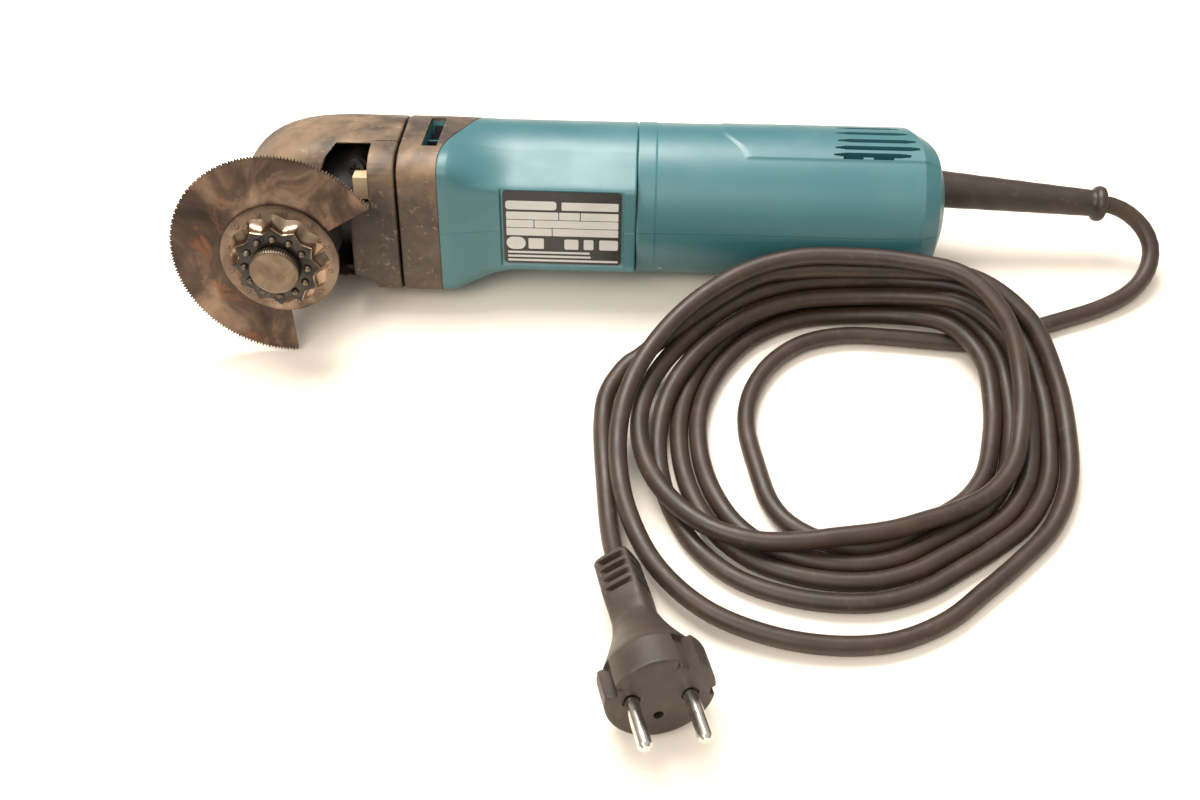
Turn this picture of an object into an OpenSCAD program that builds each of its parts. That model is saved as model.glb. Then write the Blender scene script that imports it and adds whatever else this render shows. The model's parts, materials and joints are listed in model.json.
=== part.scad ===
/* [Body] */
// Radius of the round motor housing
body_r = 30.5; // [30:0.5:31]
// Radius that the raised rear panels and the front collar reach
rest_r = 31; // [31:0.5:32]
// Wall of the housings
wall = 2.8; // [2.4:0.2:3]
// Tool axis to the flat underside of the front collar
collar_flat = 34; // [33:0.5:35]
// Spindle axis to the tip of the nose
nose_len = 25.5; // [22:0.5:28]
// Spindle axis to the parting line behind the head
head_end = 41.4; // [41:0.1:41.6]
// Spindle axis to the seam between motor housing and handle
seam_x = 135.5; // [134:0.5:137]
// Spindle axis to the rear face
rear_x = 259; // [257:1:262]
// How far the head's flat side is rolled up from upright when it lies down
roll = 12.1; // [11.9:0.1:12.3]

/* [Blade and clamp] */
// Radius of the saw blade
blade_r = 42.5; // [40:0.5:43]
// Thickness of the saw blade
blade_t = 1.2; // [1:0.1:1.4]
// Tool axis to the outer face of the blade
blade_z = 57.1; // [57:0.1:57.4]
// Angle where the cut-away sector of the blade starts
sector_from = -87; // [-95:1:-80]
// Angle where the cut-away sector of the blade ends
sector_to = 31.5; // [25:0.5:40]
// Radius of the circle of holder pins
pin_circle_r = 12; // [11.8:0.1:12.2]
// Number of holder pins
pin_count = 12; // [4, 6, 12]
// Radius of a holder pin
pin_r = 1.3; // [1.2:0.1:1.4]
// Radius of the clamp bolt's knurled head
bolt_head_r = 9.4; // [9:0.1:10]
// Radius of the clamp bolt's shank
bolt_r = 4.5; // [4.2:0.1:4.5]

/* [Drive] */
// Throw of the eccentric
throw = 0.6; // [0.5:0.1:0.6]
// Free room each side of the eccentric bearing in the fork
fork_room = 1.4; // [1.3:0.1:1.5]

/* [Cord] */
// Diameter of the rubber cord
cord_d = 7; // [6.8:0.1:7.2]
// Outer radius of the coiled cord
coil_r = 86; // [85:0.5:86]
// Inner radius of the coiled cord
coil_hole_r = 52; // [48:1:56]

/* [Hidden] */
$fn = 64;
run = 0.06;                 // radial running clearance of turning fits
end_play = 0.2;             // clearance under the lower end of the spindle
axis_h = rest_r;            // height of the tool axis above the floor
centre_x = 144.12;          // spindle axis to the middle of the whole length
centre_y = 16.83;           // tool axis to the middle of the whole width
inner_r = body_r - wall;
grip_t = 1.2;               // rubber over the collar
grip_end = 60;              // rear edge of the rubber collar
flare_end = 88;             // where the collar's flare meets the round body
spindle_r = 7.5;
tower_r = 17;               // housing round the upper part of the spindle
flange_x = 31.6;            // front face of the gear housing's rear flange
hub_r = 11;                 // hub of the swing fork
bearing_w = 9;
bearing_z = 45;              // outer face of the lower spindle bearing
hub_z = 64.5;               // outer face of the blade's star hub
holder_z = 62.9;            // face of the holder flange
bolt_face_z = 68.8;
shaft_r = 5;
commutator_x = 122;
web_x = 129.5;              // front face of the motor housing's rear web
knob_x = 112;               // middle of the slide switch at rest
dial_x = 236;
dial_z = -24.6;
lever_z = -29.4;            // height of the lever's pivot
guard_y = 1.5;
guard_z = -12;
guard_len = 73;
guard_root = [257.4, 12.05, 29.95];
guard_droop = 4.2;          // degrees that the guard hangs down
guard_swing = 0.8;          // degrees that it swings towards the coil
plug_r = 18;
pin_gap = 19;               // between the centres of the plug's pins
plug_pin_r = 2.4;
plug_pin_len = 19;

// Points that the cord follows from the guard to the coil: x from the spindle axis, y from the tool axis, height
lead_route = [
  [330, 11.2, 24.7], [336, 10.4, 23.6], [342, 8.4, 21], [347, 5, 17.6], [350, 0, 13.8],
  [350, -6, 10.2], [347, -13, 7], [341, -20, 5], [333, -26, 4], [323, -31.6, 3.7], [312, -36.4, 3.6],
  [301, -41, 3.6], [290, -45.6, 3.7], [279, -49.6, 3.9], [268, -52.8, 4.2]
];
// Points that the cord follows from the coil to the plug
tail_route = [
  [143, -72, 13.5], [135, -77.5, 12], [129, -85, 10.8], [126, -94, 9.8], [125.4, -104, 9],
  [125.8, -114, 8.4], [126.8, -125, 7.7], [127.9, -136, 7.2], [129, -147, 7.1], [130.3, -157, 7.8],
  [132, -166, 9.1], [133.8, -173.5, 10.4]
];

// ---- placing ----

// Tool frame: x along the body from the spindle, +z out of the underside, laid down on its side
module lay_down() {
  translate([-centre_x, centre_y, axis_h]) rotate([90 - roll, 0, 0]) children();
}

// Floor frame: x from the spindle axis, y from the tool axis, z up from the floor
module on_floor() {
  translate([-centre_x, centre_y, 0]) children();
}

// Turns a shape drawn along z to lie along x
module along_x(x = 0) {
  translate([x, 0, 0]) rotate([0, 90, 0]) children();
}

// Turns a shape drawn along z to lie along y
module along_y(x = 0, y = 0, z = 0) {
  translate([x, y, z]) rotate([-90, 0, 0]) children();
}

// Ring about z from height a to height b
module ring(outer, inner, a, b) {
  translate([0, 0, a]) difference() {
    cylinder(h = b - a, r = outer);
    translate([0, 0, -1]) cylinder(h = b - a + 2, r = inner);
  }
}

module box(lo, hi) {
  translate(lo) cube(hi - lo);
}

// ---- housing sections ----

// Polar radius of a section that is round above and a soft square below
function section_r(a, side, flat, power, top) =
  let (c = cos(a), s = abs(sin(a)))
  c > 0 ? 1 / pow(pow(c / flat, power) + pow(s / side, power), 1 / power)
        : 1 / sqrt(pow(c / top, 2) + pow(s / side, 2));

// One section at distance x as points, with its angle counted from the underside
function section(x, side, flat, power, top, n = 48) =
  [for (i = [0:n - 1]) let (a = 360 * (i + 0.5) / n, r = section_r(a, side, flat, power, top))
    [x, r * sin(a), r * cos(a)]];

// Closed solid through sections that all have the same number of points
module loft(sections) {
  n = len(sections[0]);
  m = len(sections);
  faces = concat(
    [[for (i = [n - 1:-1:0]) i]],
    [for (k = [0:m - 2]) for (i = [0:n - 1]) let (j = (i + 1) % n) each [
      [k * n + i, k * n + j, (k + 1) * n + i],
      [k * n + j, (k + 1) * n + j, (k + 1) * n + i]]],
    [[for (i = [0:n - 1]) (m - 1) * n + i]]
  );
  polyhedron(points = [for (s = sections) each s], faces = faces);
}

// The collar's section as a prism, drawn smaller by inset
module collar_prism(x0, x1, inset = 0) {
  outline = section(0, rest_r - inset, collar_flat - inset, 7, rest_r - inset);
  along_x(x0) linear_extrude(x1 - x0) polygon([for (p = outline) [-p[2], p[1]]]);
}

// Fraction of full size that the nose has at x: the higher the power, the blunter it is
function nose_scale(x, power) = x >= 20 ? 1 : pow(1 - pow((20 - x) / (20 + nose_len), power), 1 / power);

module nose_solid(inset, x_end) {
  tip = inset - nose_len;
  xs = [tip + 0.6, tip + 2, tip + 5.5, -13, -6, 2, 10, 20, x_end];
  loft([for (x = xs) let (plan = nose_scale(x - inset * 0.6, 2.35), blunt = nose_scale(x - inset * 0.6, 4))
    section(x, rest_r * plan - inset, 26.5 * blunt - inset, 5, rest_r * blunt - inset)]);
}

// Keeps what lies within an angle either side of the underside
module chin_wedge(angle, x0, x1) {
  far = 60;
  along_x(x0) linear_extrude(x1 - x0)
    polygon([[0, 0], [-far, far * tan(angle)], [-far, -far * tan(angle)]]);
}

// ---- head ----

module head_cover() {
  color("#5b4f45") lay_down() {
    difference() {
      union() {
        difference() {
          nose_solid(0, 31.4);
          nose_solid(3, 32.5);
        }
        difference() {
          collar_prism(31.4, head_end);
          along_x(30) cylinder(h = 13, r = 28.7);
          chin_wedge(61.2, 31.3, head_end + 1);
        }
      }
      translate([0, 0, 10]) cylinder(h = 30, r = tower_r + 0.4);
      translate([0, 0, -21.4]) cylinder(h = 12, r = 14.4);
      box([12, -29.8, 14], [31.5, 29.8, 40]);
      box([-9, -13.2, -50], [head_end + 1, 13.2, -22]);
    }
  }
}

module head_chin() {
  color("#554a41") lay_down() difference() {
    intersection() {
      collar_prism(31.5, head_end);
      chin_wedge(60.9, 31.4, head_end + 1);
    }
    along_x(30) cylinder(h = 13, r = 28.7);
    box([31, 13.9, 24.1], [33.5, 20.1, 28.5]);
  }
}

module gear_housing() {
  color("#26262a") lay_down() difference() {
    union() {
      translate([0, 0, -21]) cylinder(h = 12, r = 14);
      translate([0, 0, -12]) cylinder(h = 42, r = tower_r);
      translate([0, 0, 29]) cylinder(h = 5, r1 = tower_r, r2 = 19.6);
      translate([0, 0, 34]) cylinder(h = 14.2, r1 = 19.6, r2 = 18.2);
      along_x() cylinder(h = 32, r = 22);
      along_x(flange_x) cylinder(h = head_end - flange_x, r = 27.8);
      along_x(head_end - 1) cylinder(h = 3.6, r = 27.5);
      for (side = [-1, 1]) {
        translate([24, side * 20, 0]) cylinder(h = 18, r = 4.4);
        along_y(0, side * 9.5 - 1.5, lever_z) cylinder(h = 3, r = 4.5);
        box([-4.5, side * 9.5 - 1.5, lever_z], [4.5, side * 9.5 + 1.5, -18]);
      }
    }
    translate([0, 0, -12.9]) cylinder(h = 50, r = 12.6);
    translate([0, 0, bearing_z - bearing_w]) cylinder(h = 20, r = 16);
    translate([0, 0, -19]) cylinder(h = 8, r = 12);
    translate([0, 0, -30]) cylinder(h = 14, r = 5);
    along_x() cylinder(h = 31, r = 18);
    along_x(30) cylinder(h = 4, r = 10.6);
    along_x(32) cylinder(h = 20, r = 13);
    for (side = [-1, 1]) {
      along_y(0, side * 9.5 - 2, lever_z) cylinder(h = 4, r = 2);
      translate([24, side * 20, 6]) cylinder(h = 14, r = 1.6);
    }
    gear_screw_places(26) cylinder(h = 30, r = 1.9);
    gear_screw_places(flange_x - 4) cylinder(h = 4, r = 3.5);
  }
}

// Where the four screws through the head's flange sit
module gear_screw_places(x) {
  for (a = [45:90:315]) rotate([a, 0, 0]) translate([x, 0, 24]) rotate([0, 90, 0]) children();
}

module gear_screws() {
  color("#8a8a88") lay_down() gear_screw_places(flange_x - 3) union() {
    cylinder(h = 3, r = 3.3);
    cylinder(h = 21.3, r = 1.8);
  }
}

module nose_screws() {
  color("#2a2a2a") lay_down() for (side = [-1, 1]) translate([24, side * 20, 8]) difference() {
    union() {
      cylinder(h = 10, r = 1.6);
      translate([0, 0, 10]) cylinder(h = 2.4, r = 3.4);
    }
    for (a = [0, 90]) rotate([0, 0, a]) translate([-2, -0.4, 11.4]) cube([4, 0.8, 2]);
  }
}

module lamp_lens() {
  color("#e8d3a0") lay_down() box([29.4, 13, 21.2], [31.4, 21, 27.6]);
}

module lamp_board() {
  color("#2e5b3a") lay_down() box([31.6, 14, 24.2], [33.4, 20, 28.4]);
}

module dust_seal() {
  color("#1c1c1c") lay_down() ring(16, spindle_r + 0.3, bearing_z, bearing_z + 3);
}

// ---- bearings ----

// Outer or inner race with a ball groove left as the gap between them
module race(outer, inner, a, b) {
  color("#b8b8b4") lay_down() ring(outer, inner, a, b);
}

module race_x(outer, inner, a, b) {
  color("#b8b8b4") lay_down() along_x() ring(outer, inner, a, b);
}

module lower_bearing_outer() { race(16, 13.2, bearing_z - bearing_w, bearing_z); }
module lower_bearing_inner() { race(10.2, spindle_r, bearing_z - bearing_w, bearing_z); }
module upper_bearing_outer() { race(12, 10, -19, -13); }
module upper_bearing_inner() { race(8, 6, -19, -13); }
module front_motor_bearing_outer() { race_x(13, 10.8, 32, 40); }
module front_motor_bearing_inner() { race_x(7.2, shaft_r, 32, 40); }
module rear_motor_bearing_outer() { race_x(11, 9, web_x, web_x + 5.8); }
module rear_motor_bearing_inner() { race_x(6, 4, web_x, web_x + 5.8); }

// ---- spindle ----

module tool_holder() {
  color("#8c8478") lay_down() difference() {
    union() {
      translate([0, 0, -12.8]) cylinder(h = 64, r = spindle_r);
      translate([0, 0, end_play - 19]) cylinder(h = 7, r = 6);
      translate([0, 0, 48.6]) cylinder(h = 6, r1 = 8.5, r2 = 14);
      translate([0, 0, 54.6]) cylinder(h = holder_z - 54.6, r = 14);
      for (i = [0:pin_count - 1]) rotate([0, 0, i * 360 / pin_count]) translate([pin_circle_r, 0, holder_z - 1]) {
        cylinder(h = 3.4, r = pin_r);
        translate([0, 0, 3.4]) cylinder(h = 0.8, r1 = pin_r, r2 = 0.6);
      }
    }
    translate([0, 0, -30]) cylinder(h = 120, r = bolt_r + run);
  }
}

module swing_fork() {
  arm_in = 8 + fork_room;
  color("#77777a") lay_down() difference() {
    union() {
      translate([0, 0, -7]) cylinder(h = 14, r = hub_r);
      box([2, -14, -4], [26.4, 14, 4]);
    }
    box([hub_r + 0.4, -arm_in, -8], [28, arm_in, 8]);
    translate([0, 0, -8]) cylinder(h = 16, r = spindle_r);
  }
}

module clamp_bolt() {
  color("#8f8270") lay_down() union() {
    translate([0, 0, hub_z + 0.05]) cylinder(h = bolt_face_z - hub_z - 0.65, r = bolt_head_r);
    translate([0, 0, bolt_face_z - 0.6]) cylinder(h = 0.6, r1 = bolt_head_r, r2 = bolt_head_r - 0.6);
    translate([0, 0, 16]) cylinder(h = hub_z - 15, r = bolt_r);
    translate([0, 0, 14.5]) cylinder(h = 1.5, r1 = bolt_r - 1.2, r2 = bolt_r);
  }
}

module clamp_rod() {
  color("#9a9a96") lay_down() translate([0, 0, -24]) cylinder(h = 33.4, r = bolt_r);
}

// ---- blade ----

module saw_blade() {
  reach = blade_r + 5;
  color("#4f4740") lay_down() difference() {
    translate([0, 0, blade_z - blade_t]) cylinder(h = blade_t, r = blade_r, $fn = 120);
    translate([0, 0, blade_z - blade_t - 1]) cylinder(h = blade_t + 2, r = 17);
    difference() {
      translate([0, 0, blade_z - blade_t - 1]) linear_extrude(blade_t + 2) polygon([
        [0, 0],
        for (i = [0:4]) let (a = sector_from + (sector_to - sector_from) * i / 4) reach * 1.2 * [cos(a), sin(a)]
      ]);
      translate([0, 0, blade_z - blade_t - 2]) cylinder(h = blade_t + 4, r = 22.8);
    }
  }
}

// Pressed hub: a flat ring welded to the blade and a raised star that the pins go through
module blade_hub() {
  color("#8a7d6c") lay_down() difference() {
    union() {
      translate([0, 0, blade_z]) cylinder(h = 1.4, r = 22.8);
      translate([0, 0, blade_z + 1.4]) cylinder(h = hub_z - blade_z - 1.4, r1 = 18.4, r2 = 15.8);
    }
    translate([0, 0, blade_z - 1]) cylinder(h = holder_z + 0.1 - blade_z + 1, r1 = 17.3, r2 = 14.4);
    translate([0, 0, hub_z - 4]) cylinder(h = 5, r = bolt_r + 0.4);
    for (i = [0:pin_count - 1]) rotate([0, 0, i * 360 / pin_count]) translate([pin_circle_r, 0, hub_z - 4])
      cylinder(h = 5, r = pin_r + 0.2);
  }
}

// ---- clamp lever ----

module clamp_lever() {
  color("#1e1e20") lay_down() difference() {
    union() {
      box([9, -11, -33.4], [40.6, 11, -29.6]);
      box([5.6, -7.4, -33.4], [10, 7.4, -29.6]);
      box([34, -8, -34.4], [39, 8, -32.4]);
    }
    box([30, -12, -30.4], [41, 12, -28]);
  }
}

module lever_cam() {
  color("#9a9a96") lay_down() difference() {
    union() {
      along_y(-0.7, -7.4, lever_z) cylinder(h = 14.8, r = 5);
      box([0, -7.4, lever_z - 3.6], [5.5, 7.4, lever_z + 1.4]);
    }
    along_y(0, -8, lever_z) cylinder(h = 16, r = 2 + run);
  }
}

module lever_pin() {
  color("#c0c0bc") lay_down() along_y(0, -11, lever_z) cylinder(h = 22, r = 2);
}

// ---- motor ----

// Flare between the collar's section and the round body; it stays just outside the round at its end
module flare() {
  end_r = body_r + 0.2;
  loft([for (k = [0:5]) let (t = k / 5, s = t * t * (3 - 2 * t))
    section(grip_end + (flare_end - grip_end) * t, rest_r + (end_r - rest_r) * s,
            collar_flat + (end_r - collar_flat) * s, 7 - 5 * s, rest_r + (end_r - rest_r) * s, 36)]);
}

module motor_housing() {
  color("#1f7a80") lay_down() difference() {
    union() {
      difference() {
        union() {
          collar_prism(head_end + 1, grip_end + 0.6, grip_t + 0.1);
          flare();
          along_x(flare_end) cylinder(h = seam_x - flare_end, r = body_r);
          box([80, -19, 20], [133, 19, 31.2]);
        }
        along_x(head_end) cylinder(h = web_x - head_end, r = inner_r);
      }
      gear_screw_places(44.2) cylinder(h = 5.2, r = 5);
    }
    gear_screw_places(40) cylinder(h = 14, r = 1.8);
    along_x(web_x - 1) cylinder(h = 10, r = 11);
    box([web_x - 2, -5, -28], [seam_x + 1, 5, -23.5]);
    box([100.4, -4.3, -40], [118.6, 4.3, -20]);
    box([83, -14.9, 30.38], [130, 17.4, 40]);
    outlet_slots();
  }
}

// Air outlets through both sides of the collar
module outlet_slots() {
  for (side = [-1, 1]) for (a = [68, 81, 94]) rotate([-side * a, 0, 0]) box([51, -2.6, 20], [57, 2.6, 40]);
}

module front_grip() {
  color("#554a41") lay_down() difference() {
    collar_prism(head_end + 1, grip_end);
    collar_prism(head_end, grip_end + 1, grip_t);
    outlet_slots();
  }
}

module nameplate() {
  color("#151515") lay_down() box([83.3, -14.6, 30.4], [129.7, 17.1, 30.9]);
}

module air_baffle() {
  color("#303034") lay_down() along_x() ring(inner_r, 22, 63, 65);
}

module stator_core() {
  color("#6d6a66") lay_down() difference() {
    along_x() ring(inner_r, 16.5, 66, 106);
    for (side = [0, 180]) rotate([side, 0, 0]) along_x(65) rotate([0, 0, 52])
      rotate_extrude(angle = 76) translate([17.4, 0]) square([5.8, 42]);
    box([99, -5, -30], [107, 5, -23.5]);
  }
}

module field_coils() {
  color("#a2542a") lay_down() for (side = [0, 180]) rotate([side, 0, 0]) along_x(66) rotate([0, 0, 54])
    rotate_extrude(angle = 72) translate([17.7, 0]) square([5.2, 46]);
}

module armature_shaft() {
  color("#b0b0ac") lay_down() union() {
    translate([0, throw, 0]) along_x(16.4) cylinder(h = 10.2, r = 3);
    along_x(26.6) cylinder(h = 100, r = shaft_r);
    along_x(126) cylinder(h = 9.6, r = 4);
  }
}

module armature_core() {
  color("#5d5b58") lay_down() difference() {
    along_x() ring(15.8, shaft_r, 66, 106);
    for (a = [0:30:330]) rotate([a, 0, 0]) box([65, -1, 9], [107, 1, 17]);
  }
}

module armature_windings() {
  color("#a2542a") lay_down() for (x = [59.8, 106.2]) along_x(x) rotate_extrude()
    polygon([[shaft_r, 0.4], [9, 0], [13.6, 1], [14.4, 3], [13.6, 5], [9, 6], [shaft_r, 5.6]]);
}

module commutator() {
  color("#b87333") lay_down() along_x() ring(10, shaft_r, commutator_x - 6, commutator_x + 3.6);
}

module cooling_fan() {
  color("#2b2b2e") lay_down() difference() {
    union() {
      along_x() ring(25, shaft_r, 57.4, 59.4);
      along_x() ring(8, shaft_r, 51, 58);
      for (a = [0:30:330]) rotate([a, 0, 0]) box([51, -0.8, 7], [58, 0.8, 24.6]);
    }
    along_x(50) cylinder(h = 12, r = shaft_r);
  }
}

module eccentric_bearing() {
  color("#b8b8b4") lay_down() translate([0, throw, 0]) along_x() ring(8 - throw, 3, 17.4, 24.6);
}

module counterweight() {
  color("#77777a") lay_down() difference() {
    along_x() ring(10, shaft_r, 27.4, 31.4);
    box([27, 2, -12], [32, 12, 12]);
  }
}

module brush_holders() {
  color("#a98a3c") lay_down() for (side = [-1, 1]) difference() {
    box([commutator_x - 5, side > 0 ? 11 : -25, -4], [commutator_x + 3, side > 0 ? 25 : -11, 4]);
    box([commutator_x - 4, side > 0 ? 10 : -24, -3], [commutator_x + 2, side > 0 ? 24 : -10, 3]);
  }
}

module brushes() {
  color("#2a2a2a") lay_down() for (side = [-1, 1])
    box([commutator_x - 3.9, side > 0 ? 10.1 : -19, -2.9], [commutator_x + 1.9, side > 0 ? 19 : -10.1, 2.9]);
}

module brush_springs() {
  color("#c0c0bc") lay_down() for (side = [-1, 1]) along_y(commutator_x - 1, side > 0 ? 19 : -24, 0)
    ring(2.4, 1.5, 0, 5);
}

// ---- handle ----

// Outer profile of the handle as radius against distance, drawn smaller by inset
module handle_solid(inset) {
  x0 = seam_x + 0.3 - (inset > 0 ? 1 : 0);
  x1 = rear_x - inset;
  along_x() rotate_extrude() polygon([
    [0, x0], [body_r - inset, x0], [body_r - inset, x1 - 13],
    for (a = [15:15:75]) [body_r - inset - 6 + 6 * cos(a), x1 - 13 + 13 * sin(a)],
    [body_r - inset - 6, x1], [0, x1]
  ]);
}

module raised_panel() {
  along_x(172) rotate([0, 0, 60 - 180]) rotate_extrude(angle = 240) translate([body_r - 1, 0]) square([rest_r - body_r + 1, 73]);
}

module intake_slots() {
  for (side = [-1, 1]) for (k = [0:4]) rotate([-side * (64.5 + 8 * k), 0, 0])
    box([214, -1.1, 24], [242, 1.1, 36]);
}

module handle_shell(side) {
  difference() {
    union() {
      difference() {
        union() {
          handle_solid(0);
          raised_panel();
        }
        handle_solid(2.5);
      }
      handle_bosses(0.05, 20.6, 4.2);
      translate([0, guard_y, guard_z]) along_x() ring(11, 8.1, 252, 257);
    }
    box([100, side > 0 ? -50 : 0, -50], [rear_x + 10, side > 0 ? 0 : 50, 50]);
    handle_bosses(-30, 30, 1.8);
    for (p = handle_screw_places) along_y(p[0], -40, p[1]) cylinder(h = 22.4, r = 3.6);
    intake_slots();
    box([225.6, -3.7, -40], [246.4, 3.7, -20]);
    translate([0, guard_y, guard_z]) along_x(250) cylinder(h = 20, r = 8.1);
  }
}

handle_screw_places = [[146, 20], [200, 21], [246, 19]];

module handle_bosses(gap, reach, r) {
  for (p = handle_screw_places) for (side = [-1, 1])
    along_y(p[0], side > 0 ? gap : -reach, p[1]) cylinder(h = reach - gap, r = r);
}

module handle_left() { color("#1f7a80") lay_down() handle_shell(1); }
module handle_right() { color("#1f7a80") lay_down() handle_shell(-1); }

module handle_screws() {
  color("#8a8a88") lay_down() for (p = handle_screw_places) {
    along_y(p[0], -18, p[1]) cylinder(h = 32, r = 1.8);
    along_y(p[0], -20, p[1]) cylinder(h = 2.4, r = 3.4);
  }
}

module switch_body() {
  color("#202022") lay_down() box([152, -8, -22], [180, 8, -2]);
}

module speed_board() {
  color("#2e5b3a") lay_down() {
    box([186, -15, -3], [242, 15, -1.4]);
    box([232, -8, -14], [240, -4.2, -3]);
    box([231, -7, dial_z - 2], [241, -4.2, -14]);
    along_y(dial_x, -4.2, dial_z) cylinder(h = 8, r = 1.6);
  }
}

module noise_capacitor() {
  color("#c9a227") lay_down() box([150, -9, 2], [170, 9, 12]);
}

module cord_clamp() {
  color("#202022") lay_down() difference() {
    box([244, -9, -9], [250, 12, -1]);
    translate([0, guard_y, guard_z]) along_x(240) cylinder(h = 14, r = cord_d / 2);
  }
}

module clamp_screws() {
  color("#8a8a88") lay_down() for (y = [-6.2, 9.2]) translate([247, y, -1]) cylinder(h = 2.2, r = 2.4);
}

module slide_switch() {
  color("#1c1c1e") lay_down() {
    box([knob_x - 16, -8, -33.6], [knob_x + 16, 8, -30.9]);
    box([knob_x - 4, -3.8, -31], [knob_x + 6, 3.8, -27.4]);
    for (k = [-3:3]) box([knob_x + k * 4 - 0.6, -7, -34.4], [knob_x + k * 4 + 0.6, 7, -33.6]);
  }
}

module switch_link() {
  color("#d8d8d0") lay_down() union() {
    box([knob_x - 4, -3.6, -27.4], [151, 3.6, -25.4]);
    box([145, -3.6, -25.4], [151, 3.6, -14]);
  }
}

module speed_dial() {
  color("#1c1c1e") lay_down() difference() {
    along_y(dial_x, -3, dial_z) cylinder(h = 6, r = 9);
    along_y(dial_x, -4, dial_z) cylinder(h = 8, r = 1.6 + run);
    for (a = [0:20:340]) translate([dial_x, 0, dial_z]) rotate([0, a, 0]) box([8.4, -4, -0.5], [10, 4, 0.5]);
  }
}

// ---- cord and plug ----

function unit(v) = v / norm(v);

module tube(route, r, sides = 10) {
  n = len(route);
  rings = [for (i = [0:n - 1]) let (
      ahead = route[min(i + 1, n - 1)],
      behind = route[max(i - 1, 0)],
      dir = unit(ahead - behind),
      side = unit(cross(dir, [0, 0, 1])),
      up = cross(side, dir))
    [for (k = [0:sides - 1]) let (a = 360 * k / sides) route[i] + r * (cos(a) * side + sin(a) * up)]];
  faces = concat(
    [[for (k = [sides - 1:-1:0]) k]],
    [for (i = [0:n - 2]) for (k = [0:sides - 1]) let (j = (k + 1) % sides) each [
      [i * sides + k, i * sides + j, (i + 1) * sides + k],
      [i * sides + j, (i + 1) * sides + j, (i + 1) * sides + k]]],
    [[for (k = [0:sides - 1]) (n - 1) * sides + k]]
  );
  polyhedron(points = [for (s = rings) each s], faces = faces);
}

module cord_guard() {
  color("#1a1614") lay_down() translate([251.8, guard_y, guard_z]) {
    along_x() cylinder(h = 6, r = 8);
    along_x(-1.6) cylinder(h = 1.6, r = 9.6);
  }
  color("#1a1614") on_floor() translate(guard_root) rotate([0, 90 + guard_droop, -guard_swing]) difference() {
    union() {
      cylinder(h = guard_len - 3.5, r1 = 7.8, r2 = 5.4);
      translate([0, 0, guard_len - 3.5]) cylinder(h = 3.5, r = 7.2);
    }
    translate([0, 0, 20]) cylinder(h = guard_len, r = cord_d / 2 + 0.05);
  }
}

module cord_lead() {
  color("#1f1a17") on_floor() tube(lead_route, cord_d / 2);
}

module cord_tail() {
  color("#1f1a17") on_floor() tube(tail_route, cord_d / 2);
}

// Outer shape of the coil: low at the near side, piled against the body at the far side
module cord_coil() {
  color("#1f1a17") on_floor() translate([213.5, -119.5, 0]) difference() {
    rotate_extrude() polygon([
      [coil_hole_r, 0.6], [coil_r, 0.6], [coil_r, 36], [coil_hole_r, 36]
    ]);
    rotate([7.4, 0, 0]) translate([-120, -140, 24]) cube([240, 280, 60]);
  }
}

// Frame of the plug: origin at the middle of its face, +z out along the pins
module at_plug() {
  on_floor() translate([148.3, -227.8, 20.3]) rotate([0, 0, 15]) rotate([80, 0, 0]) rotate([0, 0, -6]) children();
}

module plug_body() {
  color("#1c1a19") at_plug() difference() {
    union() {
      translate([0, 0, -12]) cylinder(h = 12, r = plug_r);
      translate([0, 0, -18]) cylinder(h = 6, r1 = 12.6, r2 = plug_r - 1.8);
      translate([0, 0, -32]) cylinder(h = 14, r1 = 7.4, r2 = 12.6);
      translate([0, 0, -61]) cylinder(h = 29, r1 = 6.8, r2 = 7.4);
    }
    for (a = [63, 163]) rotate([0, 0, a]) translate([plug_r - 3.2, -2.6, -13]) cube([5, 5.2, 14]);
    translate([0, -8.2, -6]) cylinder(h = 7, r = 1.7);
    for (s = [-1, 1]) translate([s * pin_gap / 2, 0, -9]) cylinder(h = 10, r = plug_pin_r - 0.4);
  }
}

module plug_pins() {
  color("#c8c8c4") at_plug() for (s = [-1, 1]) translate([s * pin_gap / 2, 0, 0]) {
    translate([0, 0, -9]) cylinder(h = 9, r = plug_pin_r - 0.4);
    cylinder(h = plug_pin_len - 1, r = plug_pin_r);
    translate([0, 0, plug_pin_len - 1]) cylinder(h = 1, r1 = plug_pin_r, r2 = 1.4);
  }
}

head_cover();
head_chin();
gear_housing();
front_grip();
motor_housing();
nameplate();
handle_left();
handle_right();
lamp_lens();
lamp_board();
dust_seal();
lower_bearing_outer();
upper_bearing_outer();
front_motor_bearing_outer();
rear_motor_bearing_outer();
stator_core();
field_coils();
air_baffle();
brush_holders();
brushes();
brush_springs();
switch_body();
speed_board();
noise_capacitor();
gear_screws();
nose_screws();
handle_screws();
cord_guard();
cord_clamp();
clamp_screws();
lever_pin();
armature_shaft();
armature_core();
armature_windings();
commutator();
cooling_fan();
front_motor_bearing_inner();
rear_motor_bearing_inner();
eccentric_bearing();
counterweight();
tool_holder();
swing_fork();
lower_bearing_inner();
upper_bearing_inner();
clamp_bolt();
clamp_rod();
saw_blade();
blade_hub();
clamp_lever();
lever_cam();
slide_switch();
switch_link();
speed_dial();
cord_lead();
cord_coil();
cord_tail();
plug_body();
plug_pins();
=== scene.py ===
"""Looks of the oscillating multi tool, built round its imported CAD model."""

import json
import math

import bmesh
import bpy
import numpy as np
from mathutils import Matrix, Vector


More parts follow.
